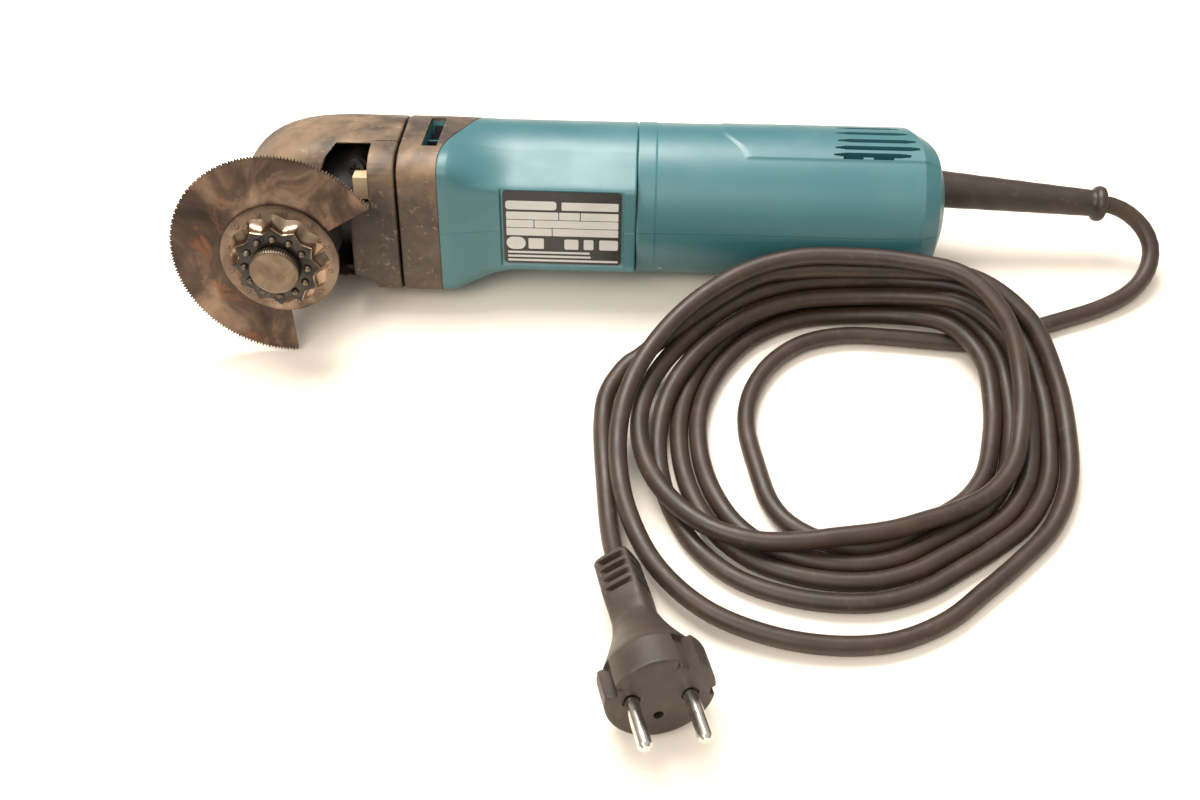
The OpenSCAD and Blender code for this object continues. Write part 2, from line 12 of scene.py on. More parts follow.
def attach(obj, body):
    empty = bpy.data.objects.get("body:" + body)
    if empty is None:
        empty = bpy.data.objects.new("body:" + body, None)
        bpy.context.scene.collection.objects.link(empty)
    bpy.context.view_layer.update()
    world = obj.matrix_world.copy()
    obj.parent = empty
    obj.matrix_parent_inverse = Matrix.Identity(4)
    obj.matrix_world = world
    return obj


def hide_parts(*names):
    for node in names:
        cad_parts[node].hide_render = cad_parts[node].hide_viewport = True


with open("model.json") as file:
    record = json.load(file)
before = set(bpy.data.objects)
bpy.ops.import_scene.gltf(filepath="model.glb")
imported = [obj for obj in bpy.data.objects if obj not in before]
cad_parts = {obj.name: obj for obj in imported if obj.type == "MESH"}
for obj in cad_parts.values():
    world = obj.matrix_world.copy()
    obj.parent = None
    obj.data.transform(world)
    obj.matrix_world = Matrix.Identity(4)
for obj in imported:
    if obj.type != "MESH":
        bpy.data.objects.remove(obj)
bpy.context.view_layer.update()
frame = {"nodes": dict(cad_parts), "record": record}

# ---- driving sizes, in millimetres and degrees, as in the CAD source ----

ROLL = 12.1
CENTRE_X = 144.12
CENTRE_Y = 16.83
AXIS_H = 31.0
HEAD_END = 41.4
SEAM_X = 135.5
CORD_D = 7.0
BLADE_Z = 57.1
HUB_Z = 64.5

_roll = math.radians(ROLL)
# Tool frame's y: up, leaning back by the roll
UP = np.array([0, math.sin(_roll), math.cos(_roll)])
# Tool frame's z: out of the underside, where the blade is
OUT = np.array([0, -math.cos(_roll), math.sin(_roll)])
ORIGIN = np.array([-CENTRE_X, CENTRE_Y, AXIS_H])


def tool(points):
    """Tool frame in mm to the row frame in metres."""
    p = np.asarray(points, float)
    return (ORIGIN + p[..., 0:1] * [1, 0, 0] + p[..., 1:2] * UP + p[..., 2:3] * OUT) / 1000


def floor_frame(points):
    """Floor frame in mm, x from the spindle and y from the tool's axis, to the row frame in metres."""
    return (np.asarray(points, float) + [-CENTRE_X, CENTRE_Y, 0]) / 1000


# ---- camera ----


def make_camera():
    elevation, yaw = math.radians(47.78), math.radians(-2.3)
    data = bpy.data.cameras.new("camera")
    data.sensor_width = 36
    data.lens = 42.72
    data.clip_start = 0.01
    cam = bpy.data.objects.new("camera", data)
    bpy.context.scene.collection.objects.link(cam)
    cam.location = floor_frame([138.6, -457.3, 410.1])
    look = Vector((math.sin(yaw) * math.cos(elevation), math.cos(yaw) * math.cos(elevation),
        -math.sin(elevation)))
    cam.rotation_euler = look.to_track_quat("-Z", "Y").to_euler()
    bpy.context.scene.camera = cam


make_camera()

# ---- mesh helpers ----


def make(name, verts, faces, body="housing", replaces=(), materials=(), marks=None, crease=38):
    """A piece from points in metres and faces. marks gives each face's material number."""
    mesh = bpy.data.meshes.new(name)
    mesh.from_pydata([tuple(v) for v in verts], [], [tuple(int(i) for i in f) for f in faces])
    mesh.validate()
    for m in materials:
        mesh.materials.append(m)
    if marks is not None and len(marks) == len(mesh.polygons):
        mesh.polygons.foreach_set("material_index", np.asarray(marks, np.int32))
    obj = bpy.data.objects.new(name, mesh)
    bpy.context.scene.collection.objects.link(obj)
    finish_mesh(obj, crease)
    if body:
        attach(obj, body)
    if replaces:
        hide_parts(*replaces)
    return obj


def dress(piece, material, node):
    """Gives a piece its one material, hangs it on the housing and hides the CAD node it stands for."""
    piece.data.materials.clear()
    piece.data.materials.append(material)
    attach(piece, "housing")
    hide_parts(node)


def finish_mesh(obj, crease=38):
    """Outward normals, smooth shading with sharp edges over the crease angle."""
    bm = bmesh.new()
    bm.from_mesh(obj.data)
    bmesh.ops.remove_doubles(bm, verts=bm.verts, dist=2e-6)
    bmesh.ops.recalc_face_normals(bm, faces=bm.faces)
    bm.to_mesh(obj.data)
    bm.free()
    obj.data.polygons.foreach_set("use_smooth", [True] * len(obj.data.polygons))
    obj.data.set_sharp_from_angle(angle=math.radians(crease))


def apply_modifiers(obj):
    depsgraph = bpy.context.evaluated_depsgraph_get()
    mesh = bpy.data.meshes.new_from_object(obj.evaluated_get(depsgraph))
    obj.modifiers.clear()
    obj.data = mesh


def combine(obj, others, how):
    """Boolean of obj with other objects, which are removed."""
    for other in others:
        mod = obj.modifiers.new(how, "BOOLEAN")
        mod.operation = how
        mod.solver = "EXACT"
        mod.object = other
    apply_modifiers(obj)
    for other in others:
        bpy.data.objects.remove(other)


def soften(obj, voxel, rounds):
    """Rebuilds a solid on an even grid and smooths it, so that its edges turn round as rubber's do."""
    remesh = obj.modifiers.new("remesh", "REMESH")
    remesh.mode = "VOXEL"
    remesh.voxel_size = voxel / 1000
    smooth = obj.modifiers.new("smooth", "SMOOTH")
    smooth.factor = 0.5
    smooth.iterations = rounds
    apply_modifiers(obj)
    finish_mesh(obj, 60)


def grid(rows, columns, start=0, closed=False):
    """Faces of a grid of points counted row by row; closed joins the last column to the first."""
    faces = []
    last = columns if closed else columns - 1
    for i in range(rows - 1):
        for j in range(last):
            k = (j + 1) % columns
            a, b = start + i * columns, start + (i + 1) * columns
            faces.append((a + j, a + k, b + k, b + j))
    return faces


def slab(outer, inner, closed):
    """Vertices and faces of a wall between two equal grids of points; closed wraps its columns."""
    rows, cols = outer.shape[:2]
    n = rows * cols
    verts = np.concatenate([outer.reshape(-1, 3), inner.reshape(-1, 3)])
    faces = grid(rows, cols, 0, closed) + [f[::-1] for f in grid(rows, cols, n, closed)]
    last = cols if closed else cols - 1
    for j in range(last):
        k = (j + 1) % cols
        faces.append((j, n + j, n + k, k))
        e = (rows - 1) * cols
        faces.append((e + j, e + k, n + e + k, n + e + j))
    if not closed:
        for i in range(rows - 1):
            a, b = i * cols, (i + 1) * cols
            faces.append((a, b, n + b, n + a))
            faces.append((a + cols - 1, n + a + cols - 1, n + b + cols - 1, b + cols - 1))
    return verts, faces


def lathe(profile, sides, swell=None):
    """Tool-frame points and faces of a solid turned about z from (radius, z) pairs, closed on the axis."""
    rows = [(max(r, 0.001), z) for r, z in profile]
    angles = np.arange(sides) * 2 * math.pi / sides
    points = []
    for r, z in rows:
        radius = r + (swell(r, z, angles) if swell else 0)
        points.append(np.stack([radius * np.cos(angles), radius * np.sin(angles), np.full(sides, z)], -1))
    return np.array(points).reshape(-1, 3), grid(len(rows), sides, 0, True)


def extrude(outline, lo, hi, place):
    """A prism from a 2-D outline; place turns (u, v, w) points in mm into the row frame in metres."""
    n = len(outline)
    points = [(u, v, w) for w in (lo, hi) for u, v in outline]
    faces = [tuple(range(n))[::-1], tuple(range(n, 2 * n))]
    faces += [(i, (i + 1) % n, n + (i + 1) % n, n + i) for i in range(n)]
    return place(np.array(points, float)), faces


def smoothstep(x, lo, hi):
    t = np.clip((np.asarray(x, float) - lo) / (hi - lo), 0, 1)
    return t * t * (3 - 2 * t)


def between(x, lo, hi, soft):
    """One inside lo..hi, falling to nought over soft outside."""
    return smoothstep(x, lo - soft, lo) * (1 - smoothstep(x, hi, hi + soft))


def round_edge(distance, radius):
    """How far a surface drops at a distance from an edge rounded to that radius."""
    d = np.clip(distance, 0, radius)
    return radius - np.sqrt(np.maximum(radius**2 - (radius - d) ** 2, 0))


def fine_steps(lo, hi, step, fine, marks):
    """Values from lo to hi in steps, with finer ones round each mark."""
    values = list(np.arange(lo, hi, step)) + [lo, hi]
    for mark, half in marks:
        values += list(np.arange(mark - half, mark + half + fine / 2, fine))
    values = np.array(sorted(v for v in values if lo <= v <= hi))
    return values[np.concatenate([[True], np.diff(values) > fine * 0.4])]


# ---- materials ----


class Shader:
    """Small helper that adds nodes to a new material."""

    def __init__(self, name):
        self.material = bpy.data.materials.new(name)
        self.material.use_nodes = True
        self.tree = self.material.node_tree
        self.bsdf = self.tree.nodes["Principled BSDF"]
        self.coords = self.tree.nodes.new("ShaderNodeTexCoord").outputs["Object"]

    def link(self, a, b):
        self.tree.links.new(a, b)

    def height(self, low, high):
        """Nought below one height in metres and one above the other."""
        split = self.tree.nodes.new("ShaderNodeSeparateXYZ")
        self.link(self.coords, split.inputs[0])
        span = self.tree.nodes.new("ShaderNodeMapRange")
        span.interpolation_type = "SMOOTHSTEP"
        span.inputs["From Min"].default_value = low
        span.inputs["From Max"].default_value = high
        self.link(split.outputs[2], span.inputs["Value"])
        return span.outputs["Result"]

    def noise(self, scale, detail=4.0, rough=0.55, stretch=(1, 1, 1), warp=0.0, shift=(0, 0, 0)):
        mapping = self.tree.nodes.new("ShaderNodeMapping")
        mapping.inputs["Scale"].default_value = stretch
        mapping.inputs["Location"].default_value = shift
        self.link(self.coords, mapping.inputs["Vector"])
        node = self.tree.nodes.new("ShaderNodeTexNoise")
        node.inputs["Scale"].default_value = scale
        node.inputs["Detail"].default_value = detail
        node.inputs["Roughness"].default_value = rough
        node.inputs["Distortion"].default_value = warp
        self.link(mapping.outputs[0], node.inputs["Vector"])
        return node.outputs[0]

    def ramp(self, value, stops):
        node = self.tree.nodes.new("ShaderNodeValToRGB")
        ramp = node.color_ramp
        while len(ramp.elements) < len(stops):
            ramp.elements.new(0.5)
        for element, (place, colour) in zip(ramp.elements, stops):
            element.position = place
            c = colour if isinstance(colour, (tuple, list)) else (colour,) * 3
            element.color = (*c[:3], 1)
        self.link(value, node.inputs[0])
        return node.outputs[0]

    def mix(self, factor, a, b, how="MIX"):
        node = self.tree.nodes.new("ShaderNodeMix")
        node.data_type = "RGBA"
        node.blend_type = how
        if isinstance(factor, (int, float)):
            node.inputs[0].default_value = factor
        else:
            self.link(factor, node.inputs[0])
        for socket, value in ((node.inputs[6], a), (node.inputs[7], b)):
            if isinstance(value, tuple):
                socket.default_value = (*value[:3], 1)
            else:
                self.link(value, socket)
        return node.outputs[2]

    def bump(self, height, distance, strength=1.0, below=None):
        node = self.tree.nodes.new("ShaderNodeBump")
        node.inputs["Strength"].default_value = strength
        node.inputs["Distance"].default_value = distance / 1000
        self.link(height, node.inputs["Height"])
        if below is not None:
            self.link(below, node.inputs["Normal"])
        return node.outputs[0]

    def set(self, **values):
        names = {"colour": "Base Color", "rough": "Roughness", "metal": "Metallic", "normal": "Normal",
                 "specular": "Specular IOR Level", "coat": "Coat Weight", "coat_rough": "Coat Roughness",
                 "transmission": "Transmission Weight", "alpha": "Alpha", "sheen": "Sheen Weight"}
        for key, value in values.items():
            socket = self.bsdf.inputs[names[key]]
            if isinstance(value, (int, float)):
                socket.default_value = value
            elif isinstance(value, tuple):
                socket.default_value = (*value[:3], 1)
            else:
                self.link(value, socket)
        return self.material


def teal_material():
    s = Shader("teal_plastic")
    body = s.ramp(s.noise(9, 3), [(0.3, (0.026, 0.118, 0.135)), (0.7, (0.036, 0.15, 0.168))])
    dust = s.ramp(s.noise(34, 6, 0.65, warp=0.6), [(0.5, 0.0), (0.8, 0.4)])
    colour = s.mix(dust, body, (0.1, 0.2, 0.205))
    scratch = s.ramp(s.noise(60, 3, 0.5, (0.18, 1.3, 1.3), 0.3), [(0.66, 0.0), (0.72, 0.5)])
    scuff = s.mix(s.ramp(s.noise(18, 2), [(0.56, 0.0), (0.66, 1.0)]), (0, 0, 0), scratch)
    colour = s.mix(scuff, colour, (0.3, 0.4, 0.4))
    rough = s.ramp(s.noise(40, 5), [(0.3, 0.36), (0.7, 0.48)])
    fine = s.bump(s.noise(2600, 2), 0.03, 0.35)
    return s.set(colour=colour, rough=rough, normal=fine, specular=0.75)


def rubber_material():
    s = Shader("grip_rubber")
    base = s.ramp(s.noise(32, 7, 0.68, warp=0.5), [(0.34, (0.03, 0.02, 0.014)), (0.5, (0.07, 0.047, 0.032)),
                                                  (0.68, (0.13, 0.09, 0.06))])
    worn = s.ramp(s.noise(21, 6, 0.66, (1, 1, 1), 0.8, (3, 1, 2)), [(0.54, 0.0), (0.66, 0.75)])
    colour = s.mix(worn, base, (0.22, 0.135, 0.075))
    # Painted highlight: the rubber is painted lighter and tan towards the top of the head, broken into
    # streaks.
    top_highlight_streaks = s.ramp(s.noise(14, 5, 0.6, (0.6, 1, 1), 0.6, (1, 4, 2)), [(0.42, 0.0), (0.6, 0.85)])
    top = s.mix(s.height(0.051, 0.062), (0, 0, 0), top_highlight_streaks)
    colour = s.mix(top, colour, (0.4, 0.25, 0.135))
    specks = s.ramp(s.noise(330, 3, 0.7), [(0.6, 0.0), (0.7, 0.55)])
    colour = s.mix(specks, colour, (0.3, 0.21, 0.13))
    rough = s.ramp(s.noise(50, 5), [(0.3, 0.45), (0.7, 0.7)])
    grain = s.bump(s.noise(1400, 3, 0.6), 0.08, 0.55)
    dents = s.bump(s.noise(90, 3), 0.3, 0.35, grain)
    return s.set(colour=colour, rough=rough, normal=dents, specular=0.5)


def steel_material(name, dark, mid, light, rust, rust_from=0.6, rough=(0.3, 0.55), metal=0.85, scale=28.0,
    shift=(0, 0, 0)):
    """Rolled or pressed steel with heat tint, rust and smears."""
    s = Shader(name)
    base = s.ramp(s.noise(scale, 5, 0.6, (1, 1, 1), 0.7, shift), [(0.32, dark), (0.5, mid), (0.72, light)])
    stain = s.ramp(s.noise(scale * 0.8, 6, 0.66, (1, 1, 1), 1.2, (shift[0] + 5, 2, 7)),
        [(rust_from, 0.0), (rust_from + 0.12, 0.9)])
    colour = s.mix(stain, base, rust)
    finish = s.ramp(s.noise(scale * 1.7, 5, 0.6), [(0.3, rough[0]), (0.7, rough[1])])
    normal = s.bump(s.noise(900, 4, 0.6), 0.05, 0.35)
    normal = s.bump(s.noise(60, 2), 0.25, 0.25, normal)
    return s.set(colour=colour, rough=finish, metal=metal, normal=normal)


def plain_material(name, colour, rough=0.5, metal=0.0, spread=0.18, grain=900.0, depth=0.04, **more):
    """A moulded or machined finish with small changes of tone and a fine grain."""
    s = Shader(name)
    low = tuple(c * (1 - spread) for c in colour[:3])
    high = tuple(min(c * (1 + spread) + 0.002, 1) for c in colour[:3])
    tone = s.ramp(s.noise(45, 4), [(0.3, low), (0.7, high)])
    finish = s.ramp(s.noise(70, 3), [(0.3, max(rough - 0.08, 0.03)), (0.7, min(rough + 0.08, 1))])
    return s.set(colour=tone, rough=finish, metal=metal, normal=s.bump(s.noise(grain, 3), depth, 0.4), **more)


def cord_material(name, low, high):
    s = Shader(name)
    tone = s.ramp(s.noise(60, 5, 0.6), [(0.3, low), (0.7, high)])
    dust = s.ramp(s.noise(240, 4, 0.7), [(0.6, 0.0), (0.75, 0.35)])
    colour = s.mix(dust, tone, (0.13, 0.1, 0.08))
    rough = s.ramp(s.noise(90, 4), [(0.3, 0.4), (0.7, 0.54)])
    return s.set(colour=colour, rough=rough, normal=s.bump(s.noise(1500, 2), 0.04, 0.35), specular=0.5)


TEAL = teal_material()
RUBBER = rubber_material()
# Painted shade: a near-black finish on the floors of the vent recesses and handle slots, standing in for the
# dark seen through them.
SHADE = plain_material("painted_shade_inside", (0.008, 0.008, 0.008), 0.8)
CASTING = plain_material("dark_casting", (0.018, 0.017, 0.016), 0.42, 0.2, 0.3, 500, 0.08)
BLACK = plain_material("black_plastic", (0.014, 0.014, 0.014), 0.42)
BLADE = steel_material("blade_steel", (0.024, 0.015, 0.011), (0.0825, 0.0517, 0.0366), (0.285, 0.19, 0.128),
    (0.225, 0.0843, 0.0342), 0.58, (0.34, 0.55), 0.65, 48)
HUB = steel_material("hub_steel", (0.05, 0.035, 0.025), (0.13, 0.092, 0.068), (0.3, 0.22, 0.16),
    (0.26, 0.105, 0.04), 0.64, (0.24, 0.4), 0.9, 50, (2, 0, 0))
HUB_TOP = steel_material("hub_star", (0.02, 0.019, 0.019), (0.045, 0.041, 0.038), (0.09, 0.078, 0.068),
    (0.07, 0.045, 0.03), 0.62, (0.24, 0.36), 0.85, 80)
HUB_WALL = steel_material("hub_flutes", (0.16, 0.11, 0.075), (0.32, 0.22, 0.15), (0.56, 0.4, 0.28),
    (0.3, 0.12, 0.045), 0.62, (0.16, 0.28), 1.0, 60)
TARNISH = steel_material("tarnished_steel", (0.085, 0.06, 0.04), (0.15, 0.112, 0.078), (0.24, 0.185, 0.13),
    (0.3, 0.17, 0.05), 0.66, (0.3, 0.46), 0.9, 90)
STEEL = plain_material("machined_steel", (0.42, 0.41, 0.39), 0.3, 1.0)
BEARING = plain_material("bearing_steel", (0.55, 0.54, 0.52), 0.22, 1.0)
LAMINATION = plain_material("lamination_steel", (0.2, 0.19, 0.18), 0.45, 0.9, grain=1800, depth=0.15)
COPPER = plain_material("copper_winding", (0.45, 0.17, 0.06), 0.35, 0.9, grain=2200, depth=0.2)
BRASS = plain_material("brush_brass", (0.6, 0.42, 0.15), 0.3, 1.0)
CARBON = plain_material("carbon", (0.02, 0.02, 0.02), 0.6)
FILM = plain_material("capacitor_film", (0.55, 0.36, 0.06), 0.3)
BOARD = plain_material("circuit_board", (0.02, 0.11, 0.05), 0.4)
WHITE = plain_material("white_plastic", (0.55, 0.55, 0.5), 0.45)
SEAL = plain_material("seal_rubber", (0.016, 0.016, 0.016), 0.65)
LENS = plain_material("lamp_window", (0.5, 0.37, 0.23), 0.35, 0.0, 0.35)
FOIL = plain_material("nameplate_foil", (0.012, 0.011, 0.011), 0.3)
PALE = plain_material("nameplate_print", (0.5, 0.49, 0.46), 0.4, 0.0, 0.08)
CORD = cord_material("cord_rubber", (0.023, 0.0125, 0.008), (0.05, 0.0285, 0.0175))
GUARD = cord_material("guard_rubber", (0.024, 0.015, 0.0105), (0.04, 0.027, 0.0195))
PLUG = cord_material("plug_rubber", (0.034, 0.023, 0.017), (0.066, 0.047, 0.036))
NICKEL = steel_material("pin_nickel", (0.5, 0.46, 0.4), (0.66, 0.62, 0.56), (0.8, 0.77, 0.72),
    (0.4, 0.3, 0.18), 0.7, (0.14, 0.26), 1.0, 90)

# ---- cord: lead, coil and tail as one curve ----

LEAD = [
    [330, 11.2, 24.7], [336, 10.4, 23.6], [342, 8.4, 21], [347, 5, 17.6], [350, 0, 13.8],
    [350, -6, 10.2], [347, -13, 7], [341, -20, 5], [333, -26, 4], [323, -31.6, 3.7], [312, -36.4, 3.6],
    [301, -41, 3.6], [290, -45.6, 3.7], [279, -49.6, 3.9], [268, -52.8, 4.2],
]
TAIL = [
    [143, -72, 13.5], [135, -77.5, 12], [129, -85, 10.8], [126, -94, 9.8], [125.4, -104, 9],
    [125.8, -114, 8.4], [126.8, -125, 7.7], [127.9, -136, 7.2], [129, -147, 7.1], [130.3, -157, 7.8],
    [132, -166, 9.1], [133.8, -173.5, 10.4],
]
COIL_CENTRE = np.array([213.5, -115.5])
# Each turn's distance from the coil's middle and its height where it passes right, far, left and near
RIGHT = [(82, 5), (56, 4), (63, 4), (70, 4), (77, 4), (64, 11.5), (83.5, 5)]
FAR = [(64, 4), (75, 4), (82, 7.5), (77.5, 12.5), (83, 18), (81, 32), (82, 24.5)]
LEFT = [(31.5, 4), (51.5, 4), (59, 4), (66.5, 4), (74, 11.4), (82, 14), (86, 9)]
NEAR = [(40, 4), (47.5, 4), (55, 4), (64, 4), (41, 12), (81, 4), (86, 9)]
# How much wider the coil is between those directions: where, how far either side, by what share
BULGES = [(46, 27, 0.17), (135, 27, -0.03), (228, 27, 0.065), (315, 27, -0.115)]


def between_knots(a, b, c, d, t):
    """Catmull-Rom curve from b to c, with a and d the points on either side of them."""
    return 0.5 * (2 * b + (c - a) * t + (2 * a - 5 * b + 4 * c - d) * t**2 + (3 * b - a - 3 * c + d) * t**3)


def smooth_curve(points, step):
    """Points an even step apart on a Catmull-Rom curve through the given ones."""
    p = np.asarray(points, float)
    p = np.concatenate([[2 * p[0] - p[1]], p, [2 * p[-1] - p[-2]]])
    out = []
    for a, b, c, d in zip(p, p[1:], p[2:], p[3:]):
        for t in np.linspace(0, 1, 12, endpoint=False):
            out.append(between_knots(a, b, c, d, t))
    out = np.array(out + [p[-2]])
    run = np.concatenate([[0], np.cumsum(np.linalg.norm(np.diff(out, axis=0), axis=1))])
    at = np.linspace(0, run[-1], max(2, int(run[-1] / step)))
    return np.stack([np.interp(at, run, out[:, k]) for k in range(3)], -1)


def coil_points():
    """The turns from the lead's end to the tail's start: a point every 15 degrees through the lanes."""
    knots = [pair for turn in zip(RIGHT, FAR, LEFT, NEAR) for pair in turn]
    first = math.degrees(math.atan2(LEAD[-1][1] - COIL_CENTRE[1], LEAD[-1][0] - COIL_CENTRE[0]))
    last = math.degrees(math.atan2(TAIL[0][1] - COIL_CENTRE[1],
        TAIL[0][0] - COIL_CENTRE[0])) + 360 * (len(RIGHT) - 1)
    angles = np.arange(first + 20, last - 20, 15)
    ranks = angles / 90
    whole = np.floor(ranks).astype(int)
    t = (ranks - whole)[:, None]
    lanes = np.array([knots[0]] + knots + [knots[-1]] * 2, float)
    a, b, c, d = (lanes[whole + k] for k in range(4))
    r, z = between_knots(a, b, c, d, t).T
    for middle, width, share in BULGES:
        off = (angles - middle + 180) % 360 - 180
        r = r * (1 + share * np.exp(-((off / width) ** 2)) * (angles > 100))
    over = np.exp(-(((angles % 360) - 50) / 20) ** 2) * (angles > 200)
    z = z + 7.5 * over
    a = np.radians(angles)
    return np.stack([COIL_CENTRE[0] + r * np.cos(a), COIL_CENTRE[1] + r * np.sin(a), z], -1)


def settle(route, fixed, rounds=70):
    """Moves overlapping strands apart, over the floor and out of the body, and smooths the moves."""
    p = route.copy()
    n = len(p)
    idx = np.arange(n)
    near_self = np.abs(idx[:, None] - idx[None, :]) < 9
    free = np.ones(n)
    free[:fixed[0]] = 0
    free[n - fixed[1]:] = 0
    kernel = np.hanning(9)
    kernel /= kernel.sum()
    for _ in range(rounds):
        gap = p[:, None, :] - p[None, :, :]
        d = np.linalg.norm(gap, axis=2)
        d[near_self] = 1e3
        push = np.where(d < CORD_D * 1.02, (CORD_D * 1.02 - d) / np.maximum(d, 0.1), 0)
        hits = (push > 0).sum(1)
        move = (gap * push[..., None]).sum(1) * 0.5 / np.maximum(hits, 1)[:, None]
        moved = p + move * free[:, None] * 0.8
        body = 30.5 + CORD_D / 2 + 0.2
        out = np.stack([moved[:, 1], moved[:, 2] - AXIS_H], -1)
        reach = np.linalg.norm(out, axis=1)
        hit = (reach < body) & (moved[:, 0] < 262)
        moved[hit, 1:] = (out[hit] * (body / reach[hit])[:, None]) + [0, AXIS_H]
        moved[:, 2] = np.maximum(moved[:, 2], CORD_D / 2 + 0.05)
        delta = (moved - route) * free[:, None]
        smooth = np.stack([np.convolve(np.pad(delta[:, k], 4, "edge"), kernel, "valid") for k in range(3)],
            -1)
        p = route + (0.35 * delta + 0.65 * smooth) * free[:, None]
        p[:, 2] = np.maximum(p[:, 2], CORD_D / 2 + 0.05)
    return p


def make_cord():
    lead, tail = smooth_curve(LEAD, 4), smooth_curve(TAIL, 4)
    rough = smooth_curve(np.concatenate([LEAD, coil_points(), TAIL]), 4)
    route = settle(rough, (len(lead) - 8, len(tail) - 3))
    curve = bpy.data.curves.new("cord", "CURVE")
    curve.dimensions = "3D"
    spline = curve.splines.new("POLY")
    spline.points.add(len(route) - 1)
    world = floor_frame(route)
    for point, place in zip(spline.points, world):
        point.co = (*place, 1)
    curve.bevel_depth = CORD_D / 2000
    curve.bevel_resolution = 5
    curve.use_fill_caps = True
    spline.use_smooth = True
    cord = bpy.data.objects.new("cord", curve)
    bpy.context.scene.collection.objects.link(cord)
    curve.materials.append(CORD)
    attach(cord, "housing")
    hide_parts("cord_lead", "cord_coil", "cord_tail")
    length = float(np.linalg.norm(np.diff(world, axis=0), axis=1).sum())
    return cord, world, length


cord, cord_route, cord_length = make_cord()

# ---- plug ----

PLUG_FACE = np.array([148.3, -227.8, 20.3])
PLUG_R = 18.0
RELIEF_TURN = 32
PLUG_BACK = -61.0


def plug_frame(points):
    """Plug frame in mm, origin at the middle of its face and z along the pins, to the row frame in metres."""

    def turn(axis, degrees):
        c, s = math.cos(math.radians(degrees)), math.sin(math.radians(degrees))
        if axis == "z":
            return np.array([[c, -s, 0], [s, c, 0], [0, 0, 1]])
        return np.array([[1, 0, 0], [0, c, -s], [0, s, c]])

    rotation = turn("z", 15) @ turn("x", 80) @ turn("z", -6)
    return floor_frame(np.asarray(points, float) @ rotation.T + PLUG_FACE)


def plug_radius(z, a):
    """Distance of the plug's surface from its axis: a ribbed relief, a neck and a round notched head."""
    knots_z = [-61, -59.5, -45, -38, -32, -27, -22, -17, -13, -11.5, 0]
    knots_r = [6.6, 7.2, 7.4, 7.3, 7.9, 9.3, 11.3, 13.7, 15.8, 16.3, 16.6]
    r = np.interp(z, knots_z, knots_r)
    square = 1 - smoothstep(z, -40, -27)
    turned = a - math.radians(RELIEF_TURN)
    corner = (np.abs(np.cos(turned)) ** 7 + np.abs(np.sin(turned)) ** 7) ** (-1 / 7)
    r = r * (1 + square * (corner * 0.95 - 1) * 0.9)
    across = np.minimum(np.abs(np.cos(turned)), np.abs(np.sin(turned)))
    side = 1 - smoothstep(across, 0.52, 0.64)
    slots = between((z + 59) % 4.2, 0.5, 2.6, 0.3) * between(z, -59, -43, 0.2)
    r = r - 2.4 * slots * side
    degrees = np.degrees(a)
    head = smoothstep(z, -12.0, -11.4)
    away = np.abs((degrees - 113 + 180) % 360 - 180)
    lobes = smoothstep(away, 42, 47)
    r = r + head * lobes * (PLUG_R - np.interp(z, knots_z, knots_r))
    for middle, half, depth, width in ((163, 6.5, 3.4, 2), (63, 8, 3.8, 2), (0, 4.0, 1.8, 2.5),
        (-100, 2.5, 0.5, 2)):
        off = np.abs((degrees - middle + 180) % 360 - 180)
        r = r - depth * (1 - smoothstep(off, half, half + width)) * head
    return r - round_edge(-z, 0.8) * (z > -0.8)


def make_plug():
    sides = 240
    a = np.arange(sides) * 2 * math.pi / sides
    z_rows = fine_steps(PLUG_BACK, 0, 0.8, 0.22, [(-51, 9), (-11.8, 0.8), (-0.5, 0.6)])
    rows = [np.stack([3.6 * np.cos(a), 3.6 * np.sin(a), np.full(sides, PLUG_BACK + 0.3)], -1)]
    rows.append(np.stack([6.4 * np.cos(a), 6.4 * np.sin(a), np.full(sides, PLUG_BACK - 0.0)], -1))
    for z in z_rows:
        r = plug_radius(np.full(sides, z), a)
        rows.append(np.stack([r * np.cos(a), r * np.sin(a), np.full(sides, z)], -1))
    edge = plug_radius(np.full(sides, 0.0), a)
    for share in (0.93, 0.8, 0.6, 0.4, 0.2, 0.002):
        rows.append(np.stack([edge * share * np.cos(a), edge * share * np.sin(a), np.full(sides, 0.0)], -1))
    points = np.array(rows)
    plug = make("plug", plug_frame(points.reshape(-1, 3)), grid(len(rows), sides, 0, True), "", (),
        [PLUG])
    cutters = []
    for x, y, r, depth in ((0, -8.2, 1.7, 6), (-9.5, 0, 3.0, 0.9), (9.5, 0, 3.0, 0.9)):
        v, f = lathe([(0, -depth), (r, -depth), (r, 2), (0, 2)], 40)
        cutters.append(make("cutter", plug_frame(v + [x, y, 0]), f, ""))
    combine(plug, cutters, "DIFFERENCE")
    finish_mesh(plug, 32)
    dress(plug, PLUG, "plug_body")
    return plug


plug = make_plug()

# ---- cord guard ----

GUARD_ROOT = np.array([257.4, 12.05, 29.95])


